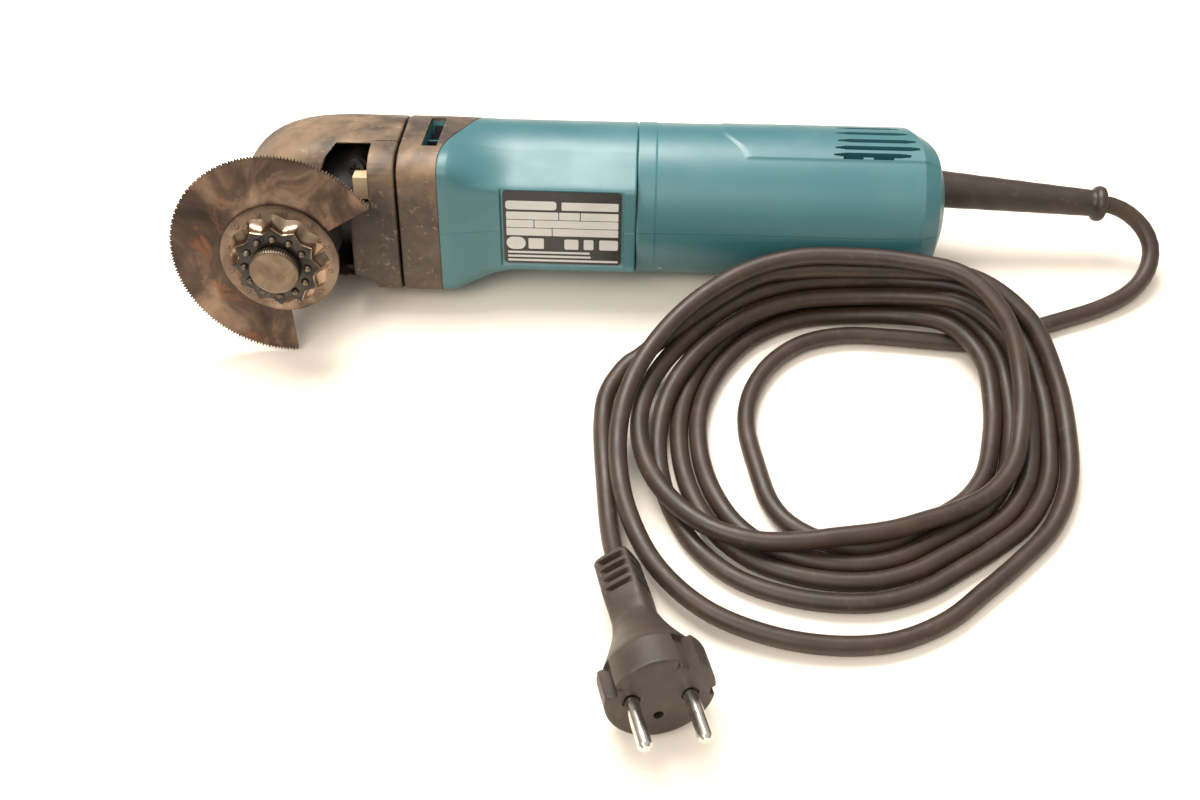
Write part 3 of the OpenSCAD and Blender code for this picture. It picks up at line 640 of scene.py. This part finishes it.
def make_guard():
    droop, swing = math.radians(4.2), math.radians(-0.8)
    along = np.array([math.cos(droop) * math.cos(swing), math.cos(droop) * math.sin(swing), -math.sin(droop)])
    side = np.cross(along, [0, 0, 1])
    side /= np.linalg.norm(side)
    top = np.cross(side, along)
    sides = 72
    a = np.arange(sides) * 2 * math.pi / sides
    profile = [(7.4, -9), (7.9, -6), (7.9, 0)]
    for t in np.linspace(0, 1, 40):
        profile.append((7.85 - 2.35 * t ** 0.9, 0.3 + 67.5 * t))
    bead = [(6.0, 68.3), (6.9, 69.0), (7.35, 70.2), (7.3, 71.6), (6.8, 72.5), (5.9, 73.0), (4.3, 73.0),
        (3.52, 72.4), (3.52, 60)]
    profile += bead
    points = []
    for r, x in profile:
        wave = 0.05 * np.sin(x * 0.55) if x < 66 else 0
        ring = (r + wave) * (np.cos(a)[:, None] * side + np.sin(a)[:, None] * top)
        points.append(GUARD_ROOT + along * x + ring)
    verts = floor_frame(np.array(points).reshape(-1, 3))
    faces = grid(len(points), sides, 0, True) + [tuple(range(sides))]
    last = (len(points) - 1) * sides
    faces.append(tuple(range(last, last + sides))[::-1])
    return make("cord_guard", verts, faces, "housing", ("cord_guard",), [GUARD], crease=50)


make_guard()

# ---- sections of the housings, as radius against the angle from the underside ----


def planes(a, faces, power):
    """Smoothed least distance to faces given as (angle of the face's normal, distance)."""
    total = 0
    for normal, distance in faces:
        c = np.cos(np.radians(a - normal))
        total = total + np.where(c > 0, (np.maximum(c, 0) / distance) ** power, 0)
    return total ** (-1 / power)


def collar_radius(a):
    """Front collar: flat below and at the sides, with cut corners, round on top."""
    a = np.abs((np.asarray(a, float) + 180) % 360 - 180)
    lower = planes(a, [(0, 34.2), (90, 31), (-90, 31), (55, 40.9), (-55, 40.9)], 26)
    upper = np.full_like(a, 31.0)
    return np.where(a < 90, np.minimum(lower, 1e3), upper)


def barrel_radius(a):
    """Round barrel with a flat for the nameplate, joined by slopes that touch the round."""
    a = np.abs((np.asarray(a, float) + 180) % 360 - 180)
    lower = planes(a, [(0, 31), (61, 30.6)], 40)
    return np.where(a < 61, lower, 30.5)


def body_radius(x, a):
    """Collar, flare and barrel as one surface."""
    t = smoothstep(x, 61.5, 88) ** 0.62
    return collar_radius(a) * (1 - t) + barrel_radius(a) * t


def polar(x, r, a):
    """Points in the row frame for distance x, radius r and angle a in degrees."""
    rad = np.radians(a)
    return tool(np.stack([x, r * np.sin(rad), r * np.cos(rad)], -1))


def rubber_edge(a):
    """Where the rubber collar ends: straight below, swept back over the sides."""
    a = np.abs((np.asarray(a, float) + 180) % 360 - 180)
    return 58 + 13.5 * smoothstep(a, 42, 118)


VENT_X = (51.6, 56.6)
VENT_A = (57, 100)


def vent_mask(x, a, grow, soft):
    side = np.abs((np.asarray(a, float) + 180) % 360 - 180)
    lean = (side - 61) * 0.02
    degrees = math.degrees(1 / 31.0)
    return between(x - lean, VENT_X[0] - grow, VENT_X[1] + grow, soft) * between(
        side, VENT_A[0] - grow * degrees, VENT_A[1] + grow * degrees, soft * degrees)


def columns(fine_marks, step=1.0, lo=-180.0, hi=180.0):
    return fine_steps(lo, hi, step, 0.3, fine_marks)


def make_motor_housing():
    marks = [(s * m, 1.4) for s in (-1, 1) for m in (30.5, 62, 72, 81, 90, 100, 61)]
    a = columns(marks + [(0, 1)])[:-1]
    front = np.linspace(0, 1, 64)
    rear = fine_steps(0, 1, 0.0085, 0.0032, [(0.02, 0.012), (0.335, 0.012), (0.93, 0.012), (0.985, 0.015)])
    edge = rubber_edge(a)
    start, end = HEAD_END + 1.0, SEAM_X
    x_front = start + (edge - 0.2 - start) * front[:, None]
    x_rear = edge + 0.1 + (end - edge - 0.1) * rear[:, None]
    x = np.concatenate([x_front, x_rear])
    aa = np.broadcast_to(a, x.shape)
    r = body_radius(x, aa)
    under = np.arange(x.shape[0]) < len(front)
    r = np.where(under[:, None], collar_radius(aa) - 1.3, r)
    hole = vent_mask(x, aa, 0, 0.35)
    side = np.abs(aa)
    bars = sum(between(side, m - 0.7, m + 0.7, 0.4) for m in (72, 84))
    depth = hole * (5.5 - 3.2 * bars)
    y, z = r * np.sin(np.radians(aa)), r * np.cos(np.radians(aa))
    plate = between(x, 82.4, 130.6, 0.3) * between(y, -15.2, 19.6, 0.3) * (z > 0)
    sunk = plate * np.maximum(r - 30.35 / np.maximum(np.cos(np.radians(aa)), 0.3), 0)
    rim = round_edge(end - x, 0.7) + np.where(under[:, None], 0, round_edge(x - edge, 0.5))
    parting = 0.22 * np.exp(-((aa / 0.45) ** 2)) * (1 - plate)
    r = r - depth - sunk - rim - parting
    outer = polar(x, r, aa)
    inner_r = np.minimum(body_radius(x, aa) - 2.6, r - 1.0)
    inner = polar(x, inner_r, aa)
    verts, faces = slab(outer, inner, True)
    cols = len(a)
    shell = (x.shape[0] - 1) * cols
    # Painted shade: the floors of the vent recesses, between the bars, take the near-black SHADE material.
    deep = (hole[:-1] > 0.9) & (bars[:-1] < 0.5)
    marks = np.zeros(len(faces), int)
    marks[:shell] = deep.reshape(-1)
    return make("motor_housing", verts, faces, "housing", ("motor_housing",), [TEAL, SHADE],
        marks, 30)


make_motor_housing()


def vent_cutter(side, grow=0.5, rows=14):
    """A curved block over one window, a little larger than the recess below it."""
    degrees = math.degrees(grow / 31)
    angles = np.linspace(VENT_A[0] - degrees, VENT_A[1] + degrees, rows) * side
    points = []
    for a in angles:
        lean = (abs(a) - 61) * 0.02
        for r in (25, 40):
            points += [polar(np.array(x + lean), np.array(r), np.array(a))
                for x in (VENT_X[0] - grow, VENT_X[1] + grow)]
    faces = []
    for i in range(rows - 1):
        k = 4 * i
        faces += [(k, k + 1, k + 5, k + 4), (k + 2, k + 6, k + 7, k + 3), (k, k + 4, k + 6, k + 2),
            (k + 1, k + 3, k + 7, k + 5)]
    faces += [(0, 2, 3, 1), tuple(4 * (rows - 1) + i for i in (0, 1, 3, 2))]
    return make("cutter", points, faces, "")


def make_front_grip():
    a = columns([(s * m, 1.6) for s in (-1, 1) for m in (62, 100, 40, 60)])[:-1]
    rows = fine_steps(0, 1, 0.02, 0.008, [(0, 0.05), (1, 0.05), (0.5, 0.22)])
    edge = rubber_edge(a)
    start = HEAD_END + 1.0
    x = start + (edge - start) * rows[:, None]
    aa = np.broadcast_to(a, x.shape)
    r = collar_radius(aa) + 0.05 - (x - 58).clip(0) * 0.02
    r = np.minimum(r, body_radius(x, aa) + 0.55)
    r = r - round_edge(x - start, 0.9) - round_edge(edge - x, 0.45)
    outer = polar(x, r, aa)
    inner = polar(x, np.minimum(collar_radius(aa) - 1.25, r - 0.2), aa)
    verts, faces = slab(outer, inner, True)
    grip = make("front_grip", verts, faces, "")
    combine(grip, [vent_cutter(side) for side in (-1, 1)], "DIFFERENCE")
    finish_mesh(grip, 34)
    dress(grip, RUBBER, "front_grip")


make_front_grip()

# ---- handle halves ----

SLOTS = [(64.5, 212.5, 242.5), (71.5, 213.3, 246.2), (79.5, 214.6, 244.9), (90, 214.6, 242.2),
    (101, 214.8, 239.6)]
HANDLE_START = SEAM_X + 0.06


def rear_start(a):
    """Where the handle's rear bevel starts: earlier towards the top."""
    side = np.abs((np.asarray(a, float) + 180) % 360 - 180)
    return 248.2 - 6.0 * smoothstep(side, 62, 122)


def handle_features(x, a, r):
    """Raised rear panel, cooling slots and the band behind the seam: the radius and the slots' depth."""
    side = np.abs((np.asarray(a, float) + 180) % 360 - 180)
    panel_edge = 178.5 - 9.5 * smoothstep(side, 60, 92)
    panel = smoothstep(side, 58.6, 61.0) * smoothstep(x, panel_edge - 1.2, panel_edge + 1.2)
    r = r + 0.42 * panel + 0.22 * (1 - smoothstep(x, 142.8, 143.3))
    deep = np.zeros_like(r)
    for middle, x0, x1 in SLOTS:
        half = math.degrees(1.05 / 31)
        taper = 1 - 0.75 * (1 - np.clip((x - x0) / 5, 0, 1)) - 0.5 * (1 - np.clip((x1 - x) / 4, 0, 1))
        lane = np.abs(side - middle) < half * np.clip(taper, 0.15, 1)
        deep = np.maximum(deep, lane * between(x, x0, x1, 0.1))
    for x0, x1 in ((216.4, 223.8), (228.2, 235.8)):
        deep = np.maximum(deep, between(x, x0, x1, 0.1) * between(side, 61.0, 64.5, 0.3))
    return r - 3.8 * deep, deep


def make_handle(name, sign):
    slot_marks = [(m + s * 2.2, 1.0) for m, _, _ in SLOTS for s in (-1, 1)]
    a_abs = fine_steps(0.08, 179.92, 1.4, 0.3,
        [(0.5, 0.8), (179.4, 0.8), (60.3, 1.2), (62, 2)] + slot_marks + [(m, 3) for m, _, _ in SLOTS])
    a = a_abs * sign
    x_rows = fine_steps(HANDLE_START, 248.2, 1.6, 0.3,
        [(HANDLE_START, 1), (143, 0.9), (173, 6), (214, 3), (219, 1), (224, 1), (228, 1), (236, 1), (243, 4)])
    shift = rear_start(a) - 248.2
    x = x_rows[:, None] + shift * smoothstep(x_rows, 226, 248.2)[:, None]
    aa = np.broadcast_to(a, x.shape)
    r, deep = handle_features(x, aa, np.full(x.shape, 30.5))
    profile = np.array([(0, 30.5), (6.6, 26.6), (10.6, 15), (10.8, 9.0), (10.8, 0.05)])
    run = np.concatenate([[0], np.cumsum(np.linalg.norm(np.diff(profile, axis=0), axis=1))])
    at = np.concatenate([np.arange(0.3, 12, 0.3), np.arange(12.5, run[-1], 1.5), [run[-1]]])
    dx, cap_r = np.interp(at, run, profile[:, 0]), np.interp(at, run, profile[:, 1])
    lead_dx = np.concatenate([[-1.2, -0.9, -0.6, -0.3, 0], dx])
    lead_r = np.concatenate([[30.5] * 5, cap_r])
    window = np.hanning(5)
    window /= window.sum()
    soft_dx = np.convolve(np.pad(lead_dx, 2, "edge"), window, "valid")[5:]
    soft_r = np.convolve(np.pad(lead_r, 2, "edge"), window, "valid")[5:]
    soft_r[-1], soft_dx[-1] = 0.05, 10.8
    top = r[-1] / 30.5
    x_cap = rear_start(a)[None, :] + soft_dx[:, None]
    x_cap = np.minimum(x_cap, 258.6)
    r_cap = soft_r[:, None] * (1 + (top - 1)[None, :] * smoothstep(soft_r, 10, 28)[:, None])
    x, r = np.concatenate([x, x_cap]), np.concatenate([r, r_cap])
    deep = np.concatenate([deep, np.zeros_like(x_cap)])
    aa = np.broadcast_to(a, x.shape)
    split = round_edge(np.radians(np.abs(aa) - 0.08) * 30,
        0.16) + round_edge(np.radians(179.92 - np.abs(aa)) * 30, 0.16)
    r = np.maximum(r - split * (r > 6) - round_edge(x - HANDLE_START, 0.7), 0.03)
    outer = polar(x, r, aa)
    inner = polar(HANDLE_START + (x - HANDLE_START) * 0.975, np.minimum(r * 0.93, 25.6), aa)
    if sign < 0:
        outer, inner, deep = outer[:, ::-1], inner[:, ::-1], deep[:, ::-1]
    verts, faces = slab(outer, inner, False)
    rows, cols = x.shape
    # Painted shade: the floors of the cooling slots and side recesses take the near-black SHADE material.
    marks = np.zeros(len(faces), int)
    marks[:(rows - 1) * (cols - 1)] = (deep[:-1, :-1] > 0.95).reshape(-1) & (deep[1:, 1:] > 0.95).reshape(-1)
    return make(name, verts, faces, "housing", (name,), [TEAL, SHADE], marks, 30)


make_handle("handle_left", 1)
make_handle("handle_right", -1)

# ---- nameplate: blank cells, no words ----


def rounded_box(x0, x1, y0, y1, radius, steps=6):
    corners = [(x1 - radius, y1 - radius, 0), (x0 + radius, y1 - radius, 90), (x0 + radius, y0 + radius, 180),
        (x1 - radius, y0 + radius, 270)]
    return [(cx + radius * math.cos(math.radians(s + 90 * k / steps)),
        cy + radius * math.sin(math.radians(s + 90 * k / steps)))
            for cx, cy, s in corners for k in range(steps + 1)]


def make_nameplate():
    verts, faces = extrude(rounded_box(83.2, 129.8, -14.7, 17.3, 1.6), 30.3, 30.85, tool)
    verts, marks = list(verts), [0] * len(faces)
    rows = [(5.1, 8.4, (0, 0.47, 0.66, 1)), (1.5, 4.8, (0, 0.25, 1)), (-2.1, 1.2, (0, 0.41, 1))]
    cells = []
    for y0, y1, cuts in rows:
        for u, v in zip(cuts, cuts[1:]):
            cells.append((84.2 + 44.6 * u + 0.18, 84.2 + 44.6 * v - 0.18, y0, y1, 0.25))
    cells += [(84.2, 91.9, -8.3, -2.8, 2.7), (93, 99.1, -8.0, -3.3, 0.4)]
    cells += [(107.3, 112.9, -8.0, -3.5, 0.6), (115, 118.9, -8.0, -3.5, 0.6), (121.2, 128.6, -8.0, -3.5, 0.6)]
    cells += [(84.7, 117.4, -10.1, -9.2, 0.3), (84.7, 117.8, -11.9, -11.0, 0.3),
        (84.7, 128.6, -13.7, -12.8, 0.3)]
    cells += [(84.2, 104.3, 9.4, 13.2, 1.2), (106.3, 128.6, 9.4, 12.9, 0.4)]
    for x0, x1, y0, y1, radius in cells:
        v, f = extrude(rounded_box(x0, x1, y0, y1, radius, 4), 30.6, 30.9, tool)
        base = len(verts)
        verts += list(v)
        faces += [tuple(base + i for i in face) for face in f]
        marks += [1] * len(f)
    make("nameplate", verts, faces, "housing", ("nameplate",), [FOIL, PALE], marks)


make_nameplate()

# ---- rubber head ----


NOSE = 25.5


def nose_scale(x, power):
    return np.where(x >= 20, 1.0, np.maximum(1 - np.abs((20 - x) / (20 + NOSE)) ** power, 0) ** (1 / power))


def loft(xs, radius):
    """Closed solid through sections given by radius(x, angles)."""
    a = np.arange(0, 360, 3.0)
    rows = [polar(np.full(a.shape, x), radius(x, a), a) for x in xs]
    faces = grid(len(xs), len(a), 0, True)
    n = len(a)
    faces += [tuple(range(n))[::-1], tuple(range((len(xs) - 1) * n, len(xs) * n))]
    return np.concatenate(rows), faces


def nose_radius(x, a, inset):
    plan = float(nose_scale(np.array(x - inset * 0.6), 2.35))
    blunt = float(nose_scale(np.array(x - inset * 0.6), 4))
    side, flat, top = 31 * plan - inset, 26.8 * blunt - inset, 31 * blunt - inset
    c, s = np.cos(np.radians(a)), np.abs(np.sin(np.radians(a)))
    low = ((np.maximum(c, 0) / flat) ** 5 + (s / side) ** 5) ** (-1 / 5)
    high = 1 / np.sqrt((c / top) ** 2 + (s / side) ** 2)
    return np.where(c > 0, low, high)


def wedge(angle, x0, x1, place=tool):
    """Prism that covers what lies within an angle either side of the underside."""
    far = 60.0
    reach = far * math.tan(math.radians(angle))
    outline = [(0, 0), (-reach, far), (reach, far)]
    return extrude(outline, x0, x1, lambda p: place(np.stack([p[:, 2], p[:, 0], p[:, 1]], -1)))


def block(lo, hi):
    (x0, y0, z0), (x1, y1, z1) = lo, hi
    return extrude([(x0, y0), (x1, y0), (x1, y1), (x0, y1)], z0, z1, tool)


def tower_cutter(radius, z0, z1, sides=72):
    v, f = lathe([(0, z0), (radius, z0), (radius, z1), (0, z1)], sides)
    return make("cutter", tool(v), f, "")


def part(shape, name="cutter"):
    return make(name, shape[0], shape[1], "")


def head_collar_radius(x, a):
    """The head's rear band, with a step up from the nose and a rounded rear edge."""
    grown = smoothstep(x, 25.5, 30.8)
    r = nose_radius(20, a, 0) * (1 - grown) + collar_radius(a) * grown
    return r - round_edge(np.array(HEAD_END - x), 0.9)


def make_head():
    ends = [0.3 - NOSE, 0.9 - NOSE, 1.9 - NOSE, 3.5 - NOSE, 5.5 - NOSE, 8 - NOSE, -14.5, -11, -6, 0, 7, 14,
        20, 26, 32]
    cover = part(loft(ends, lambda x, a: nose_radius(x, a, 0)), "head_cover")
    hollow = part(loft([e + 3 for e in ends[:-1]] + [HEAD_END + 1], lambda x,
        a: nose_radius(min(x, 30), a, 3)))
    band_xs = [25, 26, 27, 28, 29, 30, 31, 34, 38, 40, 40.6, 41, 41.2, HEAD_END]
    band = part(loft(band_xs, head_collar_radius))
    combine(band, [part(wedge(61.3, 20, 45))], "DIFFERENCE")
    combine(cover, [band], "UNION")
    cutters = [hollow, tower_cutter(17.6, 10, 60)]
    opening = [(11.0, 20), (13.6, 26.5), (17, 29.8), (31.1, 29.8), (31.1, -29.8), (17, -29.8), (13.6, -26.5),
        (11.0, -20)]
    cutters.append(part(extrude(opening, 14.5, 60, tool)))
    cutters.append(part(extrude([(-9, -13), (45, -13), (45, 13), (-9, 13)], -60, -24, tool)))
    combine(cover, cutters, "DIFFERENCE")
    soften(cover, 0.42, 4)
    chin = part(loft([22.6, 22.8, 23.4, 24.2, 26, 28, 30, 31, 34, 38, 40, 40.6, 41, 41.2, HEAD_END],
                     lambda x, a: collar_radius(a) - round_edge(np.array(HEAD_END - x), 0.9)
                     - round_edge(np.array(x - 22.6), 1.0)), "head_chin")
    combine(chin, [part(wedge(60.7, 20, 45))], "INTERSECT")
    inside = tower_cutter(28.6, -5, 60)
    inside.data.transform(axis_turn())
    sides = [part(extrude([(10, s * 17.5), (31.1, s * 22.4), (31.1, s * 60), (10, s * 60)], -60, 60, tool))
        for s in (-1, 1)]
    lamp_room = part(block((10, 9.3, 19), (31.1, 60, 60)))
    combine(chin, [inside, tower_cutter(20.2, 0, 60), lamp_room] + sides, "DIFFERENCE")
    soften(chin, 0.38, 3)
    for piece, node in ((cover, "head_cover"), (chin, "head_chin")):
        dress(piece, RUBBER, node)


def axis_turn():
    """Turn in the row frame that lays a shape about the spindle down along the tool's axis."""
    origin = Vector(ORIGIN / 1000)
    turn = Matrix.Rotation(math.radians(90), 4, Vector(UP))
    return Matrix.Translation(origin) @ turn @ Matrix.Translation(-origin)


make_head()


def make_lens():
    """The lamp's window, a rounded block in the head's recess beside the tower."""
    lens = part(block((23.8, 9.7, 20.2), (30.9, 19.4, 26.6)), "lamp_lens")
    combine(lens, [tower_cutter(20.6, 0, 60)], "DIFFERENCE")
    soften(lens, 0.22, 6)
    dress(lens, LENS, "lamp_lens")


make_lens()

# ---- blade ----

BLADE_R, TOOTH_STEP = 42.5, 1.25


def make_blade():
    first, last = 31.5, 273.0
    count = int(math.radians(last - first) * BLADE_R / TOOTH_STEP)
    top, low = BLADE_Z, BLADE_Z - 1.2
    a = np.radians(np.linspace(first, last, 2 * count + 1))
    radii = [17.2, 22, 28, 34, 39, 41.35]
    points, faces = [], []
    for z in (top, low):
        for r in radii:
            points += [(r * math.cos(t), r * math.sin(t), z) for t in a]
    n, rows = len(a), len(radii)
    faces += grid(rows, n, 0) + [f[::-1] for f in grid(rows, n, rows * n)]
    for j in range(n - 1):
        outer_top, outer_low = (rows - 1) * n, (2 * rows - 1) * n
        faces.append((outer_top + j, outer_top + j + 1, outer_low + j + 1, outer_low + j))
        faces.append((j, rows * n + j, rows * n + j + 1, j + 1))
    for i in range(rows - 1):
        for j in (0, n - 1):
            faces.append((i * n + j, (i + 1) * n + j, (rows + i + 1) * n + j, (rows + i) * n + j))
    for k in range(count):
        bend = 0.28 if k % 2 else -0.28
        t0, t1, tip = a[2 * k], a[2 * k + 2], a[2 * k] * 0.35 + a[2 * k + 2] * 0.65
        base = len(points)
        for t, r, shift in ((t0, 41.2, 0), (t1, 41.2, 0), (tip, BLADE_R, bend)):
            for z in (top - 0.08, low + 0.08):
                points.append((r * math.cos(t), r * math.sin(t), z + shift))
        faces += [(base, base + 2, base + 4), (base + 1, base + 5, base + 3),
            (base, base + 1, base + 3, base + 2),
                  (base + 2, base + 3, base + 5, base + 4), (base + 4, base + 5, base + 1, base)]
    ring_top = len(points)
    ring = np.radians(np.linspace(last - 0.2, first + 360.2, 40))
    for z in (top, low):
        for r in (17.2, 22.6):
            points += [(r * math.cos(t), r * math.sin(t), z) for t in ring]
    m = len(ring)
    faces += grid(2, m, ring_top) + [f[::-1] for f in grid(2, m, ring_top + 2 * m)]
    for j in range(m - 1):
        faces.append((ring_top + m + j, ring_top + m + j + 1, ring_top + 3 * m + j + 1, ring_top + 3 * m + j))
        faces.append((ring_top + j, ring_top + 2 * m + j, ring_top + 2 * m + j + 1, ring_top + j + 1))
    make("saw_blade", tool(points), faces, "blade", ("saw_blade",), [BLADE], crease=30)


make_blade()


def star_outline(degrees):
    """Edge of the hub's raised star: twelve points with hollow scallops between."""
    u = np.abs(((degrees / 30 + 0.5) % 1) - 0.5) * 2
    return 14.2 + 2.3 * (1 - u) ** 1.7


def make_hub():
    sides = 360
    deg = np.arange(sides) * 360.0 / sides
    rad = np.radians(deg)
    star = star_outline(deg)
    foot = 18.6 + 0.7 * np.cos(rad * 12)
    full = np.ones(sides)
    rows = [(4.95 * full, HUB_Z - 1.5), (4.95 * full, HUB_Z), (10 * full, HUB_Z), (star - 0.5, HUB_Z),
        (star, HUB_Z - 0.12), (star + 0.35, HUB_Z - 0.5)]
    drop = HUB_Z - BLADE_Z - 1.4
    for t in np.linspace(0.12, 1, 12):
        rows.append((star + 0.35 + (foot - star - 0.35) * t ** 1.5, HUB_Z - 0.5 - (drop - 0.5) * t ** 0.8))
    rows += [(20.6 * full, BLADE_Z + 1.38), (22.3 * full, BLADE_Z + 1.4), (22.7 * full, BLADE_Z + 1.25),
        (22.8 * full, BLADE_Z + 0.9), (22.8 * full, BLADE_Z)]
    under = [(18.0 * full, BLADE_Z), (17.0 * full, BLADE_Z + 0.4), (14.6 * full, 63.05), (4.95 * full, 63.0)]
    rows = rows[1:] + under
    points = np.array([np.stack([r * np.cos(rad), r * np.sin(rad), np.full(sides, z)], -1) for r, z in rows])
    faces = grid(len(rows), sides, 0, True)
    last = (len(rows) - 1) * sides
    faces += [(last + j, last + (j + 1) % sides, (j + 1) % sides, j) for j in range(sides)]
    bands = [1] * 3 + [2] * 13 + [0] * (len(rows) - 3 - 13)
    marks = [band for band in bands for _ in range(sides)]
    hub = make("blade_hub", tool(points.reshape(-1, 3)), faces, "", (), [HUB, HUB_TOP, HUB_WALL], marks)
    cutters = []
    for k in range(12):
        v, f = lathe([(0, 60), (1.55, 60), (1.55, 70), (0, 70)], 24)
        t = math.radians(30 * k)
        cutters.append(make("cutter", tool(v + [12 * math.cos(t), 12 * math.sin(t), 0]), f, ""))
    combine(hub, cutters, "DIFFERENCE")
    finish_mesh(hub, 34)
    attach(hub, "blade")
    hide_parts("blade_hub")
    points, faces = [], []
    for k in range(12):
        t = math.radians(17 + 30 * k)
        v, f = lathe([(0, 58.62), (0.35, 58.6), (0.62, 58.72), (0.85, 58.72), (1.05, 58.5), (1.05, 58.3),
            (0, 58.3)], 20)
        faces += [tuple(i + len(points) for i in face) for face in f]
        points += list(v + [19.9 * math.cos(t), 19.9 * math.sin(t), 0])
    make("hub_welds", tool(points), faces, "blade", (), [HUB], crease=60)


make_hub()


def make_bolt():
    def knurl(r, z, angles):
        return 0.16 * np.cos(angles * 56) * (r > 8.8) * (65.2 < z < 68.2)

    profile = [(0, 14.5), (3.3, 14.5), (4.5, 16), (4.5, 64.5), (4.6, 64.62), (8.7, 64.62), (9.1, 64.9),
        (9.28, 65.3), (9.3, 66.2),
               (9.3, 67.1), (9.3, 68.0), (9.1, 68.45), (8.8, 68.7), (8.4, 68.8), (8.0, 68.74), (5.0, 68.78),
               (2.0, 68.8), (0, 68.8)]
    v, f = lathe(profile, 336, knurl)
    make("clamp_bolt", tool(v), f, "clamp_bolt", ("clamp_bolt",), [TARNISH], crease=40)


make_bolt()

# ---- CAD nodes that stay as they are ----

NODE_MATERIALS = {
    "dark_casting": CASTING, "black_plastic": BLACK, "white_plastic": WHITE, "lamp_window": LENS,
    "circuit_board": BOARD,
    "seal_rubber": SEAL, "bearing_steel": BEARING, "machined_steel": STEEL, "lamination_steel": LAMINATION,
    "copper_winding": COPPER, "brush_brass": BRASS, "carbon": CARBON, "capacitor_film": FILM,
    "tarnished_steel": TARNISH,
    "pin_nickel": NICKEL, "hub_steel": HUB, "blade_steel": BLADE, "grip_rubber": RUBBER, "teal_plastic": TEAL,
    "cord_rubber": CORD, "plug_rubber": PLUG, "nameplate_foil": FOIL,
}
EASED_NODES = ("gear_housing", "clamp_lever", "slide_switch", "speed_dial", "tool_holder")


def dress_nodes():
    for sub in frame["record"]["subparts"]:
        node = frame["nodes"][sub["node"]]
        node.data.materials.clear()
        node.data.materials.append(NODE_MATERIALS[sub["material_slot"]])
    frame["nodes"]["nose_screws"].data.materials[0] = BLACK
    for name in EASED_NODES:
        bevel = frame["nodes"][name].modifiers.new("edge", "BEVEL")
        bevel.width = 0.00035
        bevel.segments = 2
        bevel.limit_method = "ANGLE"
        bevel.angle_limit = math.radians(40)
        bevel.harden_normals = True


dress_nodes()

# ---- floor and light ----


def make_stage():
    s = Shader("floor")
    s.set(colour=s.ramp(s.noise(3, 3), [(0.3, (0.9, 0.81, 0.7)), (0.7, (0.93, 0.85, 0.75))]), rough=0.75,
        specular=0.15)
    half = 3.0
    mesh = bpy.data.meshes.new("floor")
    mesh.from_pydata([(-half, -half, 0), (half, -half, 0), (half, half, 0), (-half, half, 0)], [],
        [(0, 1, 2, 3)])
    mesh.materials.append(s.material)
    ground = bpy.data.objects.new("floor", mesh)
    bpy.context.scene.collection.objects.link(ground)


def add_light(name, place, target, size, watts, colour=(1, 1, 1)):
    data = bpy.data.lights.new(name, "AREA")
    data.shape = "RECTANGLE"
    data.size, data.size_y = size
    data.energy = watts
    data.color = colour
    lamp = bpy.data.objects.new(name, data)
    lamp.location = place
    lamp.rotation_euler = (Vector(target) - Vector(place)).to_track_quat("-Z", "Y").to_euler()
    bpy.context.scene.collection.objects.link(lamp)


def make_light():
    world = bpy.data.worlds.new("studio")
    world.use_nodes = True
    background = world.node_tree.nodes["Background"]
    tree = world.node_tree
    coords = tree.nodes.new("ShaderNodeTexCoord")
    split = tree.nodes.new("ShaderNodeSeparateXYZ")
    ramp = tree.nodes.new("ShaderNodeValToRGB")
    tree.links.new(coords.outputs["Generated"], split.inputs[0])
    tree.links.new(split.outputs[2], ramp.inputs[0])
    ramp.color_ramp.elements[0].position = 0.1
    ramp.color_ramp.elements[0].color = (0.3, 0.27, 0.24, 1)
    ramp.color_ramp.elements[1].position = 0.95
    ramp.color_ramp.elements[1].color = (0.95, 0.93, 0.9, 1)
    tree.links.new(ramp.outputs[0], background.inputs[0])
    background.inputs[1].default_value = 1.0
    bpy.context.scene.world = world
    add_light("key", (-0.3, 0.5, 1.3), (0, 0, 0), (0.9, 0.6), 27, (1, 0.98, 0.94))
    add_light("fill", (-0.5, -1.0, 1.2), (0, 0, 0), (1.0, 0.7), 13, (1, 0.95, 0.88))
    view = bpy.context.scene.view_settings
    view.view_transform = "Standard"
    view.look = "None"


make_stage()
make_light()
